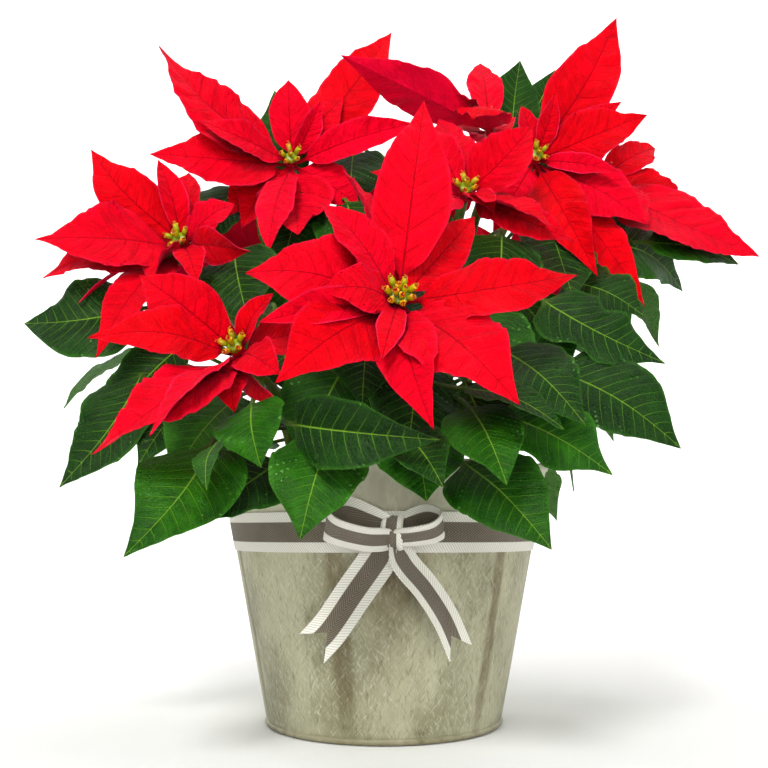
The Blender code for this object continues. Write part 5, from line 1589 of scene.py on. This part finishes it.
def make_ribbon_finish():
    material, tree, shader = new_finish("striped_ribbon_finish")
    along, across, _ = parts_of(tree, known(tree, "cloth"))
    off = maths(tree, "ABSOLUTE", across)
    slant = maths(tree, "ADD", maths(tree, "MULTIPLY", along, 0.62), off)
    threads = maths(tree, "PINGPONG", maths(tree, "DIVIDE", slant, THREAD), 0.5)
    line = fade(tree, threads, 0.08, 0.30)
    edge_slant = maths(tree, "MULTIPLY", across, 0.55)
    edge_slant = maths(tree, "ADD", maths(tree, "MULTIPLY", along, 0.8), edge_slant)
    edge_threads = maths(tree, "PINGPONG", maths(tree, "DIVIDE", edge_slant, THREAD), 0.5)
    edge_line = fade(tree, edge_threads, 0.05, 0.28)
    cloth = tree.nodes.new("ShaderNodeCombineXYZ")
    feed(tree, along, cloth.inputs[0])
    feed(tree, across, cloth.inputs[1])
    mottle = placed(tree, mottling_group, Place=cloth.outputs[0], Patch_scale=0.12, Grain_scale=3.0)
    brown = blend(tree, line, red_green_blue(58, 50, 40), red_green_blue(128, 118, 104))
    brown = blend(tree, maths(tree, "MULTIPLY", mottle["Patches"], 0.35), brown, red_green_blue(92, 84, 68))
    cream = blend(tree, edge_line, red_green_blue(206, 202, 186), red_green_blue(240, 238, 228))
    edge = fade(tree, off, RIBBON_WIDTH / 2 - EDGE_STRIPE - 0.25, RIBBON_WIDTH / 2 - EDGE_STRIPE + 0.25)
    colour = blend(tree, edge, brown, cream)
    colour = blend(tree, maths(tree, "MULTIPLY", mottle["Grain"], 0.12), colour, red_green_blue(120, 112, 96))
    feed(tree, colour, shader.inputs["Base Color"])
    feed(tree, fade(tree, mottle["Grain"], 0.0, 1.0, 0.78, 0.92), shader.inputs["Roughness"])
    shader.inputs["Sheen Weight"].default_value = 0.15
    shader.inputs["Specular IOR Level"].default_value = 0.25
    woven = maths(tree, "ADD", maths(tree, "MULTIPLY", line, maths(tree, "SUBTRACT", 1.0, edge)),
                  maths(tree, "MULTIPLY", edge_line, edge))
    bumped(tree, shader, woven, 0.6, 0.0003)
    return material


ribbon_finish = make_ribbon_finish()
print(ribbon_finish.name, "has", len(ribbon_finish.node_tree.nodes), "nodes")

# %% [markdown]
# # Putting the plant together
# Now every piece is made, given its finish and set to ride with the plant, and the plain pieces that it
# stands for are hidden. First the pot, the soil and the ribbon.

# %% Pot and soil
pot = make_piece("fine_pot", turned_piece(pot_shape(), POT_SIDES), pot_finish, "pot")
soil = make_piece("fine_soil", soil_part(), soil_finish, "soil")
print("pot and soil:", triangles(pot) + triangles(soil), "triangles")

# %% [markdown]
# Cloth keeps its size: the length of each piece's path is the length of ribbon that it was cut to.

# %% Ribbon
def make_ribbon(name, path, part, width, held, rests_on, node=None):
    piece = make_piece(name, part, ribbon_finish, node)
    length_of(path)
    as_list(rests_on)
    return piece


band = make_ribbon("fine_band", *band_part(), RIBBON_WIDTH, "stretched", ["fine_pot"], "ribbon_band")
knot = make_ribbon("bow_knot", *knot_part(), 11.0, "folded", ["fine_band"], "ribbon_bow")
for side, points in (("left", LEFT_LOOP), ("right", RIGHT_LOOP)):
    path, part = loop_part(points, LOOP_WIDTHS[side])
    make_ribbon(f"bow_loop_{side}", path, part, LOOP_WIDTHS[side], "folded", ["bow_knot"])
for side, (points, width, lean) in TAILS.items():
    path, part = tail_part(points, width, lean)
    make_ribbon(f"bow_tail_{side}", path, part, width, "hung", ["bow_knot"])
print("band:", triangles(band), "triangles")

# %% [markdown]
# Each shoot becomes three pieces, as in the plain model: its stem with its leaves, its bracts on their
# collar, and its cups. Every shoot has a seed of its own, so a change to one leaves the others alone.

# %% Shoots
total = 0
for name in SHOOTS:
    rng = random.Random(f"leaves {name}")
    node = f"stem_leaves_{name}"
    parts = [stem_of(name, rng)] + [grid_of(blade, rng) for blade in blades[node]]
    leaves = make_piece(f"fine_leaves_{name}", joined(parts), leaf_finish, node)
    rng = random.Random(f"bracts {name}")
    node = f"bracts_{name}"
    parts = [collar_of(name, rng)] + [grid_of(blade, rng) for blade in blades[node]]
    bracts = make_piece(f"fine_bracts_{name}", joined(parts), bract_finish, node)
    cups = make_piece(f"fine_cups_{name}", cups_of(name), cup_finish, f"cyathia_{name}")
    counts = [triangles(piece) for piece in (leaves, bracts, cups)]
    total += sum(counts)
    print(name, counts)
print("the whole plant:", total, "triangles")

# %% [markdown]
# # The studio
# The floor is one pale sheet that curves up far away all round, like a bowl, so no line shows where it
# ends, from any side.

# %% Floor
FLOOR_RADIUS = 1300.0
WALL_BEND = 900.0
WALL_TOP = 3600.0


def make_floor():
    bend = np.linspace(0, math.pi / 2, 16)
    shape = [(0, 0), (500, 0), (FLOOR_RADIUS, 0)]
    shape += [(FLOOR_RADIUS + WALL_BEND * math.sin(a), WALL_BEND * (1 - math.cos(a))) for a in bend[1:]]
    shape += [(FLOOR_RADIUS + WALL_BEND, 2000), (FLOOR_RADIUS + WALL_BEND, WALL_TOP)]
    points, faces, _ = turned_piece(shape, 96)
    mesh = bpy.data.meshes.new("studio_floor")
    mesh.from_pydata(((points - (0, 0, 0.4)) * MM).tolist(), [], [face[::-1] for face in faces])
    mesh.shade_smooth()
    floor = bpy.data.objects.new("studio_floor", mesh)
    bpy.context.scene.collection.objects.link(floor)
    material, tree, shader = new_finish("pale_floor")
    place = tree.nodes.new("ShaderNodeTexCoord").outputs["Object"]
    mottle = placed(tree, mottling_group, Place=place, Patch_scale=2.0, Grain_scale=40.0)
    paper = blend(tree, mottle["Patches"], (0.86, 0.86, 0.85, 1), (0.88, 0.88, 0.87, 1))
    feed(tree, paper, shader.inputs["Base Color"])
    shader.inputs["Roughness"].default_value = 0.9
    shader.inputs["Specular IOR Level"].default_value = 0.1
    mesh.materials.append(material)
    return floor


print(len(make_floor().data.polygons), "faces in the floor")

# %% [markdown]
# ## The light
# A soft key lamp stands at the upper left of the camera, a weaker one low in front and one hangs over the
# plant. Two more lamps light only the wall behind it. The world adds a little pale light from everywhere.
# Less of it makes the gaps between the blooms darker, as they are in the picture.

# %% Lamps
LAMPS = (  # where each lamp is, where it points, how wide it is, in metres, and its power in watts
    ("key", (-0.35, -1.15, 1.15), (0, 0, 0.24), 0.40, 17.0),
    ("front", (0.25, -1.3, 0.35), (0, 0, 0.22), 0.45, 4.5),
    ("top", (0.1, 0.15, 1.6), (0, 0, 0.2), 0.7, 4.0),
    ("wall_left", (-0.9, 0.9, 1.5), (-0.5, 2.2, 0.7), 1.0, 22.0),
    ("wall_right", (0.9, 0.9, 1.5), (0.5, 2.2, 0.7), 1.0, 22.0),
)

for name, place, aim, width, power in LAMPS:
    lamp = bpy.data.objects.new(f"lamp_{name}", bpy.data.lights.new(f"lamp_{name}", "AREA"))
    lamp.location = place
    lamp.rotation_euler = (Vector(aim) - Vector(place)).to_track_quat("-Z", "Y").to_euler()
    lamp.data.size = width
    lamp.data.energy = power
    bpy.context.scene.collection.objects.link(lamp)
world = bpy.data.worlds.new("pale_world")
world.use_nodes = True
world.node_tree.nodes["Background"].inputs["Color"].default_value = (1.0, 1.0, 1.0, 1.0)
world.node_tree.nodes["Background"].inputs["Strength"].default_value = 0.12
bpy.context.scene.world = world
bpy.context.scene.view_settings.view_transform = "Standard"
print(len(LAMPS), "lamps")
